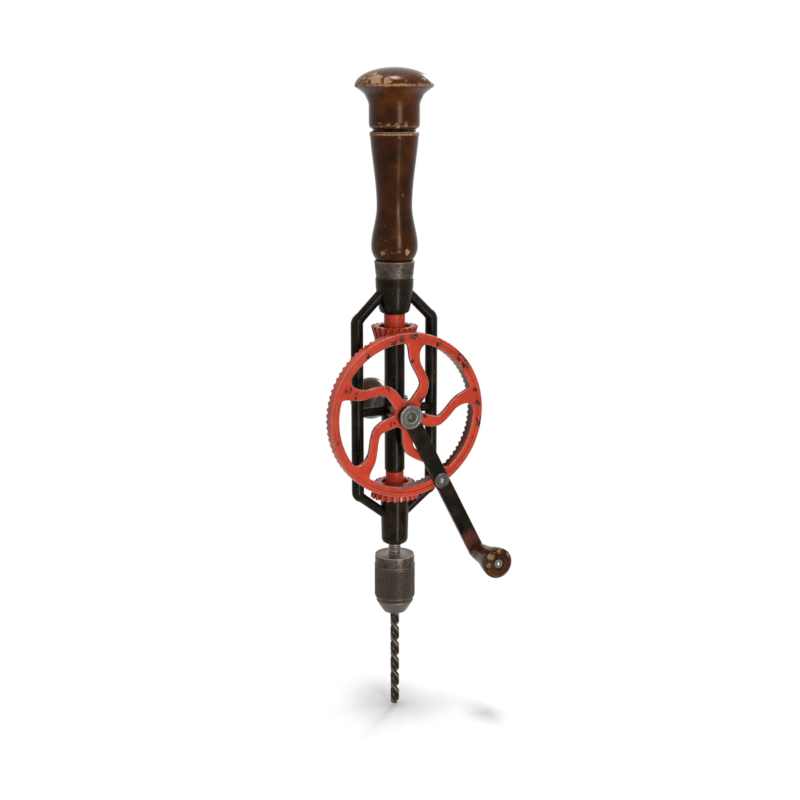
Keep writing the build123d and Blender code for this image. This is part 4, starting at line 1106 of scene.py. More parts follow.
@dataclass
class BevelGears(Assembly):
    """Gear wheel and its two pinions."""

    wheel_teeth: int = 84
    pinion_teeth: int = 22
    wheel_radius: float = 57.8
    rim_inner: float = 50.8
    addendum: float = 0.73
    dedendum: float = 1.07
    backlash: float = 0.26
    pressure: float = radians(20.0)
    face: float = 11.0
    front: float = 22.61
    band_front: float = 22.01
    bead_inner: float = 54.4
    spoke_count: int = 5
    spoke_thickness: float = 2.8
    spoke_bulge: float = 12.9
    spoke_width: float = 6.5
    hub_radius: float = 10.3
    hub_back: float = 14.0
    bush_radius: float = 6.4
    dish_depth: float = 2.4
    spoke_front_round: float = 1.15
    spoke_back_round: float = 0.5
    tooth_sink: float = 0.25  # how far the wheel's teeth reach into its rim
    tip_round: float = 0.12
    least_gap: float = 0.8  # of two spokes at the hub
    rim_steps: int = 40
    segments: int = 168
    spoke_stations: tuple[tuple[float, float, float], ...] = (  # share of the reach, sideways share, width
        (0.00, 0.27, 1.38), (0.14, 0.65, 1.28), (0.23, 0.88, 1.22), (0.33, 1.00, 1.08), (0.43, 0.90, 1.00),
        (0.52, 0.74, 1.00), (0.62, 0.54, 1.02), (0.73, 0.42, 1.24), (0.83, 0.41, 1.42), (0.91, 0.45, 2.00),
        (1.00, 0.50, 3.60))
    pinions: tuple[Pinion, ...] = (
        Pinion("upper_pinion", "idler", 48.7, 1, bore=4.45, dish=11.3, collar=7.34, rise=8.5, collar_round=0.5),
        Pinion("lower_pinion", "spindle", 51.9, -1, bore=4.42, dish=9.6, collar=6.43, rise=7.5, collar_round=0.4))
    around: Pattern = field(default_factory=copies_around)

    @property
    def slope(self) -> float:
        """Slope of the pitch cones."""
        return self.pinion_teeth / self.wheel_teeth

    def spoke_edges(self) -> tuple[list[Point], list[Point]]:
        """Lays out the upright spoke.

        Returns:
            Its left and right edges, from the hub outwards.
        """
        start = self.hub_radius * 0.5
        reach = self.rim_inner + (self.wheel_radius - self.rim_inner) / 3 - start
        middle = [Vector((side * self.spoke_bulge, start + share * reach)) for share, side, _ in self.spoke_stations]
        left, right = [], []
        for i, (_, _, width) in enumerate(self.spoke_stations):
            run = (middle[min(i + 1, len(middle) - 1)] - middle[max(i - 1, 0)]).normalized()
            half = Vector((run.y, -run.x)) * width * self.spoke_width / 2
            left.append(tuple(middle[i] - half))
            right.append(tuple(middle[i] + half))
        return through(left), through(right)

    def window(self) -> list[Point]:
        """Lays out the opening between the upright spoke and the next one to its right.

        Returns:
            Its closed outline.
        """
        left, right = self.spoke_edges()
        near, far = ([p for p in line if self.hub_radius - self.least_gap < Vector(p).length < self.rim_inner]
                     for line in (right, [spun(p, 2 * pi / self.spoke_count) for p in left]))
        gap, i, k = min(((Vector(a) - Vector(b)).length, i, k) for i, a in enumerate(near[:30])
                        for k, b in enumerate(far[:30]))
        if gap < self.least_gap:
            near, far = near[i:], far[k:]
        start, end = (abs(Vector(line[-1]).angle_signed(Vector((0, 1)))) for line in (near, far))
        angles = [start + (end - start) * k / self.rim_steps for k in range(self.rim_steps + 1)]
        rim = [(self.rim_inner * sin(a), self.rim_inner * cos(a)) for a in angles]
        return evened(near + rim + far[::-1], 0.5, 8)

    def wheel(self) -> None:
        """Builds the gear wheel: toothed rim, bead, spokes with rounded edges and hub."""
        root = self.slope + self.dedendum / self.wheel_radius
        plate_back = self.band_front - self.spoke_thickness
        # Negative edge values beside the teeth, in the groove behind the bead, on the rim's inner wall and in the hub's
        # recess paint shade there in the paint's grime colour.
        rim = rounded([
            (self.wheel_radius, root * self.wheel_radius, 0.15, -0.4),
            (self.wheel_radius, root * self.wheel_radius + 3.5, 0.0, -0.25),
            (self.wheel_radius, self.front, 1.1), (self.bead_inner + 0.75, self.front, 0.45),
            (self.bead_inner, self.band_front - 0.12, 0.3, -0.9), (self.bead_inner, plate_back + 0.1),
            (self.rim_inner, plate_back + 0.1, 0.3, -1.3), (self.rim_inner, root * self.rim_inner, 0.15, -1.2)])
        hub = rounded([
            (self.bush_radius, self.hub_back, 0.2), (self.hub_radius, self.hub_back, 0.5),
            (self.hub_radius, self.band_front + 0.03, 0.25), (8.4, self.band_front + 0.03, 0.1, -0.4),
            (7.9, self.front, 0.1, -0.8), (self.bush_radius, self.front, 0.2, -0.5)])
        first = self.window()
        windows = [[spun(p, 2 * pi * k / self.spoke_count) for p in first] for k in range(self.spoke_count)]
        shape = Shape().turned(rim, Turn.FORWARD, closed=True, segments=self.segments)
        shape.plate(circle(self.bead_inner + 0.5, self.segments), [*windows, circle(self.bush_radius - 1.0, 48)],
                    self.band_front, plate_back, self.spoke_front_round, self.spoke_back_round)
        shape.turned(hub, Turn.FORWARD, closed=True)
        shape.take(self.around.run(self.wheel_tooth(), Count=self.wheel_teeth, Upright=False,
                                   Middle=(0, 0, AXLE_HEIGHT * MM), Material=self.finishes[Slot.RED]))
        self.piece(shape, "drive_wheel", Slot.RED, "wheel")

    def wheel_tooth(self) -> bpy.types.Mesh:
        """Builds the tooth at the top of the wheel, which tapers towards the gear apex.

        Returns:
            The tooth as a mesh.
        """
        # the roots' inner value paints shade between the teeth; the tips' outer value gives rubbed edges with painted
        # highlights
        low, mid = (-self.dedendum - self.tooth_sink, -0.8), (self.addendum - 0.25, 0.4)
        tip = (self.addendum, 0.9)

        def section(distance: float) -> list[Mark]:
            """Lays out the tooth's outline.

            Args:
                distance: distance from the axle.

            Returns:
                (x, y, z, edge) points.
            """
            out = []
            for side, (height, edge) in zip((-1, -1, -1, 1, 1, 1), (low, mid, tip, tip, mid, low)):
                slope = height / self.wheel_radius
                half = distance * (pi / 2 / self.wheel_teeth - self.backlash / self.wheel_radius / 4
                                   - slope * tan(self.pressure)) - (self.tip_round if edge > 0.8 else 0.0)
                out.append((side * half, -(self.slope - slope) * distance, distance, edge))
            return out

        return Shape().prism(section(self.rim_inner + 0.05), section(self.wheel_radius - 0.05)).mesh("wheel_tooth")

    def pinion_tooth(self, start: float, sign: int) -> bpy.types.Mesh:
        """Builds the first tooth of a pinion.

        Args:
            start: distance of its small end from the gear apex.
            sign: 1 above the axle, -1 below it.

        Returns:
            The tooth as a mesh.
        """
        def section(distance: float) -> list[Mark]:
            """Lays out the tooth's outline, with involute flanks.

            Args:
                distance: distance from the apex.

            Returns:
                (x, y, z, edge) points.
            """
            pitch = self.slope * distance
            root = distance * (self.slope - self.dedendum / self.wheel_radius)
            tip = distance * (self.slope + self.addendum / self.wheel_radius)
            at_pitch, at_tip = (acos(min(1.0, pitch * cos(self.pressure) / radius)) for radius in (pitch, tip))
            half_pitch = pi / 2 / self.pinion_teeth - self.backlash / self.wheel_radius * distance / 4 / pitch
            half_root = half_pitch + (tan(at_pitch) - at_pitch)
            half_tip = half_root - (tan(at_tip) - at_tip)
            middle = -pi / 2 + pi / self.pinion_teeth
            # the roots' inner value paints shade between the teeth; the tips' outer values give rubbed edges with
            # painted highlights
            return [(radius * cos(middle + half), radius * sin(middle + half), sign * distance, edge)
                    for radius, half, edge in (
                        (root - 0.4, -half_root, -1.0), (tip - 0.2, -half_tip - 0.012, 0.5),
                        (tip, -half_tip + 0.008, 0.9), (tip, half_tip - 0.008, 0.9),
                        (tip - 0.2, half_tip + 0.012, 0.5), (root - 0.4, half_root, -1.0))]

        return Shape().prism(section(start), section(start + self.face)).mesh("pinion_tooth")

    def pinion(self, size: Pinion) -> None:
        """Builds a pinion with its dished face and collar.

        Args:
            size: its sizes.
        """
        root = self.slope - self.dedendum / self.wheel_radius
        low, high = sorted((size.sign * size.start, size.sign * (size.start + self.face)))
        upper = size.sign > 0
        dish, top = high - self.dish_depth, high + size.rise
        outline = rounded([
            (size.bore, low, 0.2), (root * abs(low), low + (0.0 if upper else 0.02), 0.2 if upper else 0.3),
            (root * abs(high), high - 0.02, 0.3 if upper else 0.2), (size.dish, high - 0.02, 0.5),
            (size.dish, dish, 0.5), (size.collar, dish, 0.5), (size.collar, top, size.collar_round),
            (size.bore, top, 0.2)])
        shape = Shape().turned(outline, Turn.UP, closed=True)
        shape.take(self.around.run(self.pinion_tooth(size.start, size.sign), Count=self.pinion_teeth, Upright=True,
                                   Middle=(0, 0, 0), Material=self.finishes[Slot.RED]))
        self.piece(shape, size.node, Slot.RED, size.body)

    def build(self) -> None:
        """Builds the wheel and the pinions."""
        self.wheel()
        for size in self.pinions:
            self.pinion(size)


@dataclass
class Crank(Assembly):
    """Crank arm, its rivets and the turned knob, with the cap and screw on the wheel's axle."""

    radius: float = CRANK_RADIUS
    angle: float = CRANK_ANGLE
    pin: Point = KNOB_AXIS
    arm_width: float = 11.0
    hub_radius: float = 8.0
    eye_radius: float = 5.6
    axle_hole: float = 5.3
    arm_back: float = 22.61
    arm_front: float = 26.01
    rivet_at: float = 54.4
    rivet_back: float = 18.61
    knob_back: float = 27.11
    knob_front: float = 57.3
    knob_recess: float = 1.3
    cap_radius: float = 8.4
    cap_back: float = 26.31
    cap_front: float = 28.21
    cap_groove: float = 0.6
    cap_well: Point = (3.9, 1.0)  # radius and depth round the screw

    def arm(self) -> None:
        """Builds the flat arm."""
        lean = acos(self.arm_width / 2 / self.hub_radius)
        hub = arc((0, 0), self.hub_radius, -lean, pi + lean, 40)
        eye = arc((0, -self.radius), self.eye_radius, pi, 2 * pi, 24)
        loop = evened([spun(p, -self.angle) for p in hub + eye], 0.8, 2)
        shape = Shape().plate(loop, [circle(self.axle_hole, 40)], self.arm_front, self.arm_back, 0.45, 0.3)
        self.piece(shape, "crank_arm", Slot.BLACK, "wheel")

    def rivets(self) -> None:
        """Builds the domed rivet on the arm and the knob's pin."""
        share = self.rivet_at / self.radius
        for node, place, head, under, shank, back, segments, material in (
                ("crank_rivet", (self.pin[0] * share, self.pin[1] * share), (5.4, 2.6, self.arm_front), 0.0, 2.4,
                 self.rivet_back, 48, None),
                ("knob_rivet", self.pin, (3.7, 2.2, self.knob_front - 1.0), -0.5, 2.35, self.arm_back, 40,
                 self.finishes.knob_pin)):
            outline = [*dome(*head), (shank, head[2], under), (shank, back, 0.0), (0.0, back, 0.0)]
            shape = Shape().turned(outline, Turn.FORWARD, place, segments=segments)
            self.piece(shape, node, Slot.BRIGHT_STEEL, "wheel", material=material)

    def knob(self) -> None:
        """Builds the turned knob with its recess."""
        back, front, length = self.knob_back, self.knob_front, self.knob_front - self.knob_back
        side = flowing([(back + 0.6, 6.3, 0.02), (back + length * 0.24, 6.9, 0.06),
                        (front - length * 0.1, 10.9, 0.1)], 14)
        self.lathe([(2.5, back, 0.1), (6.3, back, 0.4), *side, (10.85, front - length * 0.045, 1.2),
                    (8.9, front, 1.6), (4.7, front, 0.5), (4.7, front - self.knob_recess, 0.3),
                    (2.5, front - self.knob_recess, 0.1)],
                   "crank_knob", Slot.KNOB_WOOD, Turn.FORWARD, self.pin, body="knob")

    def cap(self) -> None:
        """Builds the ringed cap on the axle and its cross-recess screw."""
        radius, front, low = self.cap_radius, self.cap_front, self.cap_front - self.cap_groove
        well, depth = self.cap_well
        self.lathe([(0, self.cap_back), (radius, self.cap_back, 0.15), (radius, low, 0.3),
                    (radius - 0.6, front, 0.25), (radius - 1.7, front, 0.25), (radius - 2.0, low, 0.15),
                    (radius - 2.6, low, 0.15), (radius - 2.9, front, 0.25), (well, front, 0.3),
                    (well, front - depth, 0.15), (0, front - depth)],
                   "axle_cap", Slot.BRIGHT_STEEL, Turn.FORWARD, closed=False)
        self.piece(merged_copy("axle_screw"), "axle_screw", Slot.BRIGHT_STEEL, sharp=30.0)

    def build(self) -> None:
        """Builds the arm, the rivets, the knob and the cap."""
        for step in (self.arm, self.rivets, self.knob, self.cap):
            step()


@dataclass
class Frame(Assembly):
    """Cast bosses, side rods, crossbars and the centre tube."""

    spread: float = 28.4
    rod_radius: float = 4.32
    rod_end: float = 6.5  # how near the spindle line the legs end
    bend_start: float = 4.5
    bend_reach: float = 2.2
    upper_bend: float = 64.33
    lower_bend: float = -59.1
    upper_leg: tuple[float, float] = (3.75, radians(44.5))
    lower_leg: tuple[float, float] = (3.3, radians(37.9))
    bend_steps: int = 8
    crossbar_radius: float = 3.3
    crossbar_places: tuple[float, ...] = (7.2, 18.0, 26.0)
    upper_boss: Corners = ((5.9, 68.5, 0.2), (8.3, 68.5, 0.4), (10.12, 69.67, 1.2), (10.9, 72.4, 2.0),
                           (13.07, 87.2, 1.5), (13.17, 93.0, 0.5), (12.7, 93.5, 0.3), (5.9, 93.5))
    lower_boss: Corners = ((5.9, -97.2, 0.2), (7.2, -97.2, 0.3), (8.74, -96.21, 1.0), (9.4, -94.34, 1.6),
                           (10.1, -64.7, 0.4), (9.6, -64.2, 0.3), (5.9, -64.2, 0.2))
    centre_tube: Corners = ((4.9, -44.1, 0.2), (6.1, -44.1, 0.4), (7.1, -43.1, 0.5), (7.1, 47.4, 0.4),
                            (4.9, 47.4, 0.2))
    hub: Corners = ((0, -15.5), (8.3, -15.5, 0.6), (8.3, 12.5, 0.7), (0, 12.5))
    hub_sleeve: Corners = ((7.12, -9.5, 0.1), (9.3, -9.5, 0.7), (9.3, 9.5, 0.7), (7.12, 9.5, 0.1))

    def leg(self, bend: float, rise: int, size: tuple[float, float]) -> list[Mark]:
        """Lays out a leg of the right side rod.

        Args:
            bend: height of its bend.
            rise: 1 if it rises from there, -1 if it falls.
            size: its radius and slope.

        Returns:
            (x, y, z, radius) points from inside its boss to the bend.
        """
        radius, slope = size
        run = self.spread - self.rod_end - radius * sin(slope)
        return [(self.spread - run * share, 0.0, bend + rise * run * share * tan(slope), thick) for share, thick in (
            (1.0, radius), (0.55, radius), (self.bend_start / run * cos(slope), radius),
            (self.bend_reach / run * cos(slope), (radius + self.rod_radius) / 2))]

    def rod(self, side: int) -> list[Mark]:
        """Lays out a side rod.

        Args:
            side: 1 for the right one, -1 for the left one.

        Returns:
            (x, y, z, radius) points of its middle line, from its upper socket to its lower one.
        """
        *upper, start = self.leg(self.upper_bend, 1, self.upper_leg)
        *lower, end = self.leg(self.lower_bend, -1, self.lower_leg)
        heights = (self.upper_bend, self.upper_bend - self.bend_reach, self.lower_bend + self.bend_reach,
                   self.lower_bend)
        above, under, over, below = ((self.spread, 0.0, height, self.rod_radius) for height in heights)
        parts = [k / self.bend_steps for k in range(self.bend_steps + 1)]
        bends = [tuple(a * (1 - s) ** 2 + b * 2 * s * (1 - s) + c * s * s for a, b, c in zip(*three))
                 for three in ((start, above, under), (over, below, end)) for s in parts]
        return [(side * x, y, z, r) for x, y, z, r in (*upper, *bends, *lower[::-1])]

    def rods(self) -> None:
        """Builds the side rods and the crossbars."""
        for side, name in ((1, "right"), (-1, "left")):
            self.piece(Shape().rod(self.rod(side)), f"side_rod_{name}", Slot.BLACK)
            bar = Shape().rod([(side * x, 0, 0, self.crossbar_radius) for x in self.crossbar_places])
            self.piece(bar, f"crossbar_{name}", Slot.BLACK)

    def build(self) -> None:
        """Builds the frame's pieces."""
        self.rods()
        for node in ("upper_boss", "lower_boss", "centre_tube"):
            self.lathe(getattr(self, node), node, Slot.BLACK)
        hub = Shape().turned(rounded(self.hub, closed=False), Turn.FORWARD)
        self.piece(hub.turned(rounded(self.hub_sleeve), closed=True), "centre_hub", Slot.BLACK)


@dataclass
class Handles(Assembly):
    """Turned top handle with its cap and ferrule, and the side handle."""

    grip_foot: float = 93.5
    grip_low: float = 105.0
    grip_top: float = 192.8
    store_radius: float = 8.0
    store_depth: float = 46.0
    cap_low: float = 193.1
    cap_rim: float = 221.3
    crown_radius: float = 26.65
    crown_rise: float = 12.7
    spigot_radius: float = 7.92
    spigot_length: float = 14.0
    groove_radius: float = 14.4
    knob_radius: float = 15.2
    knob_middle: float = 41.0
    knob_rise: float = 16.0
    ferrule: Corners = ((11.2, 93.5, 0.1), (12.7, 93.5, 0.2), (12.7, 95.0, 0.2), (12.96, 95.4, 0.3),
                        (13.75, 103.4, 0.4), (13.97, 103.9, 0.3), (13.97, 104.5, 0.3), (13.5, 105.0, 0.3),
                        (11.2, 105.0, 0.1))
    side_ferrule: Corners = ((3.5, -15.5, 0.1), (8.1, -15.5, 0.4), (8.9, -16.3, 0.5), (8.9, -22.5, 0.4),
                             (7.6, -22.5, 0.1), (7.6, -16.8, 0.2), (3.5, -16.8, 0.1))

    def grip(self) -> None:
        """Builds the waisted grip with the hollow for spare bits."""
        low, top, floor = self.grip_low, self.grip_top, self.grip_top - self.store_depth
        side = flowing([(low + 0.35, 12.6, 0.75), (low + 9.6, 16.0, 0.0), (low + 37.0, 12.1, 0.0),
                        (top - 3.8, 16.5, 0.08)], 22)
        self.lathe([(0, self.grip_foot), (11.15, self.grip_foot, 0.3), (11.15, low), (12.3, low, 0.2), *side,
                    (16.72, top - 3.4, 0.15, 0.9), (16.7, top - 1.9, 0.5, 1.0), (16.1, top - 1.2, 0.4, 1.0),
                    (self.groove_radius, top, 0.3, -0.6), (self.store_radius, top, 0.4),
                    (self.store_radius, floor, 0.3), (0, floor)],
                   "handle_grip", Slot.WOOD, closed=False, segments=128)

    def cap(self) -> None:
        """Builds the mushroom cap with its spigot."""
        low, rim, foot = self.cap_low, self.cap_rim, self.cap_low - self.spigot_length
        flare = flowing([(low + 16.0, 17.2, 0.0), (rim - 6.2, 19.4, 0.45), (rim - 0.35, 26.2, 1.5)], 14)
        angles = [radians(3 + 87 * k / 30) for k in range(31)]
        crown = [(self.crown_radius * cos(t), rim + self.crown_rise * sin(t), 0.0, max(0.0, 0.95 - 0.16 * k))
                 for k, t in enumerate(angles)]
        self.lathe([(0, foot), (self.spigot_radius, foot, 0.4), (self.spigot_radius, low),
                    (self.groove_radius, low, 0.3, -0.7), (16.3, low + 1.3, 0.6), (17.05, low + 2.4, 0.8, 0.6),
                    (17.2, low + 4.6, 0.5), *flare, (26.62, rim, 0.3, 0.9), *crown],
                   "handle_cap", Slot.WOOD, closed=False, segments=144, body="cap", material=self.finishes.cap_wood)

    def side_handle(self) -> None:
        """Builds the side handle's knob."""
        flare = flowing([(22.6, 8.2, 0.3), (self.knob_middle, self.knob_radius, 0.0)], 20)
        crown = [(self.knob_radius * cos(t), self.knob_middle + self.knob_rise * sin(t))
                 for t in [radians(90 * k / 20) for k in range(1, 21)]]
        self.lathe([(0, -16.8), (7.55, -16.8, 0.2), (7.55, -22.5), *((r, -a) for r, a in flare + crown)],
                   "side_handle_grip", Slot.WOOD, Turn.FORWARD, closed=False)

    def build(self) -> None:
        """Builds both handles."""
        self.lathe(self.ferrule, "handle_ferrule", Slot.DARK_STEEL)
        self.grip()
        self.cap()
        self.lathe(self.side_ferrule, "side_handle_ferrule", Slot.DARK_STEEL, Turn.FORWARD)
        self.side_handle()


@dataclass
class ChuckAndBit(Assembly):
    """Spindle stub, chuck and twist drill."""

    spindle: Corners = ((0, -117.4), (4.05, -117.4, 0.3), (4.05, -97.4), (4.4, -97.0), (4.4, 76.5, 0.6), (0, 76.5))
    thread_radius: float = 3.95
    thread_ends: Point = (-106.2, -96.9)
    thread_pitch: float = 1.15
    thread_size: float = 0.44
    # the top face's edge values of 0.55 and 0.7 paint it lighter in the steel's bright colour, a painted reflection
    plate: Corners = ((4.45, -114.4, 0.1), (14.5, -114.4, 0.35), (14.5, -113.4, 0.3), (14.1, -112.4, 0.3),
                      (14.1, -105.8, 0.7, 0.55), (4.45, -105.8, 0.1, 0.7))
    sleeve_ends: Point = (-139.1, -114.7)
    sleeve_radius: float = 14.45
    sleeve_bore: float = 12.6
    knurl_depth: float = 0.4
    knurl_sink: float = 0.06
    knurl_columns: int = 60
    knurl_rows: int = 27
    bit_radius: float = 3.175
    bit_tip: float = -222.2
    bit_top: float = -124.1
    flute_top: float = -148.0
    flute_fade: float = 1.5
    flute_lead: float = 24.0
    flute_turn: float = radians(29.0)
    flute_centre: float = 3.3
    flute_half: Point = (1.9, 2.35)  # half axes of a flute's section, inwards and sideways
    point_angle: float = radians(59)
    point_rows: tuple[float, int] = (0.19, 11)  # spacing and number
    flute_rows: tuple[float, int] = (0.55, 130)
    bit_segments: int = 64
    core_edge: float = 2.6  # radius inside which a flute counts as a corner

    def stub(self) -> None:
        """Builds the spindle with the thread of its stub."""
        shape = Shape().turned(rounded(self.spindle, closed=False), segments=48)
        low, high = self.thread_ends
        shape.take(screw_thread().run(
            None, Radius=self.thread_radius * MM, Low=(low + AXLE_HEIGHT) * MM, High=(high + AXLE_HEIGHT) * MM,
            Pitch=self.thread_pitch * MM, Size=self.thread_size * MM, Material=self.finishes[Slot.DARK_STEEL]))
        self.piece(shape, "spindle_shaft", Slot.DARK_STEEL, "spindle")

    def chuck(self) -> None:
        """Builds the rear plate, the knurled sleeve and the nose."""
        self.lathe(self.plate, "chuck_back_plate", Slot.DARK_STEEL, body="spindle")
        (low, high), radius, bore = self.sleeve_ends, self.sleeve_radius, self.sleeve_bore
        core = radius - self.knurl_depth
        shape = Shape().turned(rounded([
            (bore, low, 0.1), (13.15, low, 0.3), (radius - 0.05, low + 2.5, 0.3), (core, low + 2.9, 0.1),
            (core, high - 1.3, 0.1), (radius, high - 1.0, 0.2), (radius, high - 0.3, 0.3), (13.9, high, 0.2),
            (bore, high, 0.1)]), closed=True)
        shape.take(diamond_knurl().run(
            None, Radius=(core - self.knurl_sink) * MM, Low=(low + 2.9 + AXLE_HEIGHT) * MM,
            High=(high - 1.2 + AXLE_HEIGHT) * MM, Columns=self.knurl_columns, Rows=self.knurl_rows,
            Depth=(self.knurl_depth + self.knurl_sink) * MM, Material=self.finishes[Slot.KNURLED]))
        self.piece(shape, "chuck_sleeve", Slot.KNURLED, "sleeve", 20.0)
        self.piece(merged_copy("chuck_body"), "chuck_body", Slot.DARK_STEEL, "spindle", 24.0, self.finishes.nose)

    def bit(self) -> None:
        """Builds the twist drill with its flutes, lands and point, and a painted highlight stripe along each land."""
        shape, count, rows = Shape(), self.bit_segments, []
        end = self.flute_top + self.flute_fade
        (fine, first), (coarse, last) = self.point_rows, self.flute_rows
        heights = [self.bit_tip + 0.01 + fine * k for k in range(first)]
        heights += [heights[-1] + coarse * k for k in range(1, last)]
        for height in [*(h for h in heights if h < end), end + 0.5, self.bit_top]:
            fade = min(1.0, max(0.0, (end - height) / self.flute_fade))
            limit = (height - self.bit_tip) * tan(self.point_angle)
            start = self.flute_turn - 2 * pi * (height - self.bit_tip + 2.0) / self.flute_lead
            row = []
            for k in range(count):
                radius, edge = self.section(2 * pi * k / count)
                radius = self.bit_radius + (radius - self.bit_radius) * fade
                if radius > limit:
                    radius, edge = limit, 0.2
                angle = start + 2 * pi * k / count
                row.append(shape.add(radius * cos(angle), radius * sin(angle), height, edge * fade))
            rows.append(row)
        shape.grid([[shape.add(0, 0, self.bit_tip)], *rows, [shape.add(0, 0, self.bit_top)]])
        self.piece(shape, "drill_bit", Slot.DRILL_STEEL, "spindle", 34.0)

    def section(self, angle: float) -> Point:
        """Looks up the bit's section, which is a circle less two elliptic flutes.

        Args:
            angle: angle from the first flute.

        Returns:
            Radius and edge value, which peaks in each land's middle as a painted highlight.
        """
        away = abs((angle + pi / 2) % pi - pi / 2)
        deep, wide = self.flute_half
        a = (cos(away) / deep) ** 2 + (sin(away) / wide) ** 2
        b = -2 * self.flute_centre * cos(away) / deep**2
        c = (self.flute_centre / deep) ** 2 - 1
        found = b * b - 4 * a * c
        if found <= 0:
            # painted highlight: the edge value peaks in each land's middle, which paints a bright stripe along it
            return self.bit_radius, max(0.0, 0.88 - 2.1 * abs(away - pi / 2))
        radius = (-b - sqrt(found)) / (2 * a)
        if radius < self.bit_radius:
            return radius, -0.6 if radius < self.core_edge else 0.6
        return self.bit_radius, 1.0

    def build(self) -> None:
        """Builds the spindle, the chuck and the bit."""
        for step in (self.stub, self.chuck, self.bit):
            step()


# ---------------------------------------------------------------- studio
@dataclass(frozen=True)
class Lamp:
    """A soft rectangular lamp, placed in metres."""

    name: str
    place: Colour
    target: Colour
    size: Point
    watts: float


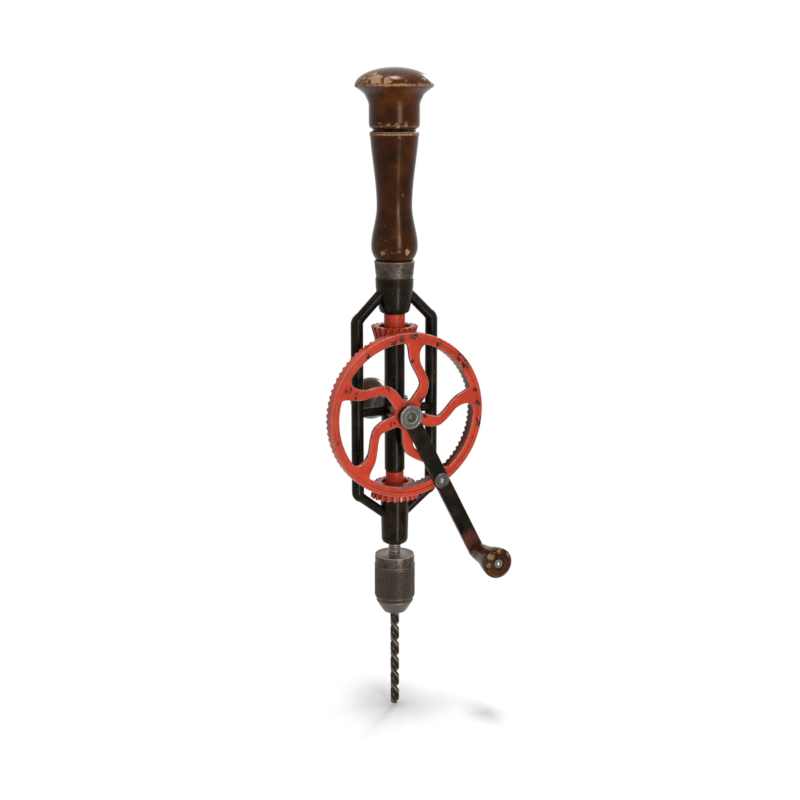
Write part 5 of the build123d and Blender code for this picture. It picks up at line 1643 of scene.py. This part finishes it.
@dataclass
class Studio:
    """Plain pale floor, soft lamps and the camera."""

    camera_distance: float = 0.955
    camera_turn: float = CAMERA_TURN
    camera_rise: float = 0.218
    camera_aim: float = radians(25.128)
    camera_pitch: float = radians(12.47)
    lens: float = 62.775
    sensor: float = 36.0
    nearest: float = 0.01
    world_light: float = 0.32
    floor_radius: float = 0.3
    floor_drop: float = 0.0004
    floor_corners: int = 96
    floor_colour: Colour = (0.97, 0.97, 0.97)
    shadow_middle: Colour = (0.027, -0.02, 0.0)
    shadow_fade: tuple[float, float, float, float] = (0.045, 0.1, 0.15, 1.0)  # near, far, white near, white far
    lamps: tuple[Lamp, ...] = (
        Lamp("key", (0.0, -3.0, 0.7), (0, 0, 0.3), (0.6, 1.25), 44.0),
        Lamp("low", (0.0, -1.2, -0.2), (0, 0, 0.15), (0.12, 0.38), 4.6),
        Lamp("top", (0.03, -0.03, 2.5), (0.03, -0.03, 0.0), (0.45, 0.7), 47.0),
        Lamp("fill", (1.6, 1.5, 1.1), (0, 0, 0.3), (0.5, 0.7), 16.0))

    def camera(self) -> None:
        """Sets the camera at the photograph's viewing angle."""
        data = bpy.data.cameras.new("camera")
        data.lens, data.sensor_width, data.clip_start = self.lens, self.sensor, self.nearest
        eye = bpy.data.objects.new("camera", data)
        eye.location = (-self.camera_distance * sin(self.camera_turn), -self.camera_distance * cos(self.camera_turn),
                        self.camera_rise + AXLE_HEIGHT * MM)
        eye.rotation_euler = (pi / 2 - self.camera_pitch, 0.0, -self.camera_aim)
        bpy.context.scene.collection.objects.link(eye)
        bpy.context.scene.camera = eye

    def seen(self, tree: Tree) -> Wire:
        """Adds a value that is 1 for what the camera, mirrors and glass see.

        Args:
            tree: the tree that it goes into.

        Returns:
            The value.
        """
        path = tree.node("ShaderNodeLightPath", {}).outputs
        camera, mirror, glass = (Wire(tree, path[f"Is {kind} Ray"]) for kind in ("Camera", "Glossy", "Transmission"))
        return tree.maths("MAXIMUM", tree.maths("MAXIMUM", camera, mirror), glass)

    def world(self) -> None:
        """Sets the soft light all round and the white that is seen behind the drill."""
        world = bpy.data.worlds.new("studio")
        world.use_nodes = True
        tree = Tree(world.node_tree)
        soft, white = (tree.wire("ShaderNodeBackground", {"Strength": strength, "Color": WHITE})
                       for strength in (self.world_light, 1.0))
        tree.node("ShaderNodeOutputWorld", {"Surface": tree.mixed(self.seen(tree), soft, white)})
        bpy.context.scene.world = world
        bpy.context.scene.view_settings.view_transform = "Standard"

    def floor(self) -> None:
        """Builds the white floor, which keeps the shadow near the drill and fades to white away from it."""
        mesh = bpy.data.meshes.new("studio_floor")
        rim = [(x, y, 0) for x, y in circle(self.floor_radius, self.floor_corners)]
        mesh.from_pydata(rim, [], [tuple(range(len(rim)))])
        floor = bpy.data.objects.new("studio_floor", mesh)
        floor.location.z = -self.floor_drop
        bpy.context.scene.collection.objects.link(floor)
        material = bpy.data.materials.new("studio_white")
        material.use_nodes = True
        tree = Tree(material.node_tree)
        reach = tree.wire("ShaderNodeVectorMath", {0: tree.wire("ShaderNodeTexCoord", output="Object"),
                                                   1: self.shadow_middle}, "Value", operation="DISTANCE")
        ends = dict(zip(("From Min", "From Max", "To Min", "To Max"), self.shadow_fade))
        fade = tree.wire("ShaderNodeMapRange", {"Value": reach, **ends}, interpolation_type="SMOOTHSTEP")
        matt = tree.wire("ShaderNodeBsdfDiffuse", {"Color": self.floor_colour})
        glow = tree.wire("ShaderNodeEmission", {"Color": WHITE})
        tree.node("ShaderNodeOutputMaterial", {"Surface": tree.mixed(fade * self.seen(tree), matt, glow)})
        mesh.materials.append(material)

    def lamp(self, size: Lamp) -> None:
        """Adds a lamp.

        Args:
            size: its place, size and power.
        """
        data = bpy.data.lights.new(size.name, "AREA")
        data.shape, data.energy = "RECTANGLE", size.watts
        data.size, data.size_y = size.size
        lamp = bpy.data.objects.new(size.name, data)
        lamp.location = size.place
        lamp.rotation_euler = (Vector(size.target) - Vector(size.place)).to_track_quat("-Z", "Y").to_euler()
        lamp.visible_camera = False
        bpy.context.scene.collection.objects.link(lamp)

    def build(self) -> None:
        """Builds the studio."""
        self.camera()
        self.world()
        self.floor()
        for size in self.lamps:
            self.lamp(size)


def dress_hidden(finishes: Finishes, frame: dict[str, Any]) -> None:
    """Gives each CAD node its slot's finish.

    Args:
        finishes: the finishes.
    """
    slots = {part["node"]: Slot(part["material_slot"]) for part in frame["record"]["subparts"]}
    for name, node in frame["nodes"].items():
        if not node.material_slots:
            node.data.materials.append(finishes[slots[name]])
        for held in node.material_slots:
            held.material = finishes[slots[name]]
        LOG.info("%s: finished as %s", name, slots[name].value)


def main() -> None:
    """Builds the drill and its studio, piece by piece."""
    logging.basicConfig(level=logging.INFO, format="%(name)s: %(message)s")
    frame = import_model()
    finishes = Finishes()
    dress_hidden(finishes, frame)
    for assembly in (BevelGears(finishes), Crank(finishes), Frame(finishes), Handles(finishes), ChuckAndBit(finishes)):
        assembly.build()
        LOG.info("%s done", type(assembly).__name__)
    Studio().build()


if __name__ == "__main__":
    main()
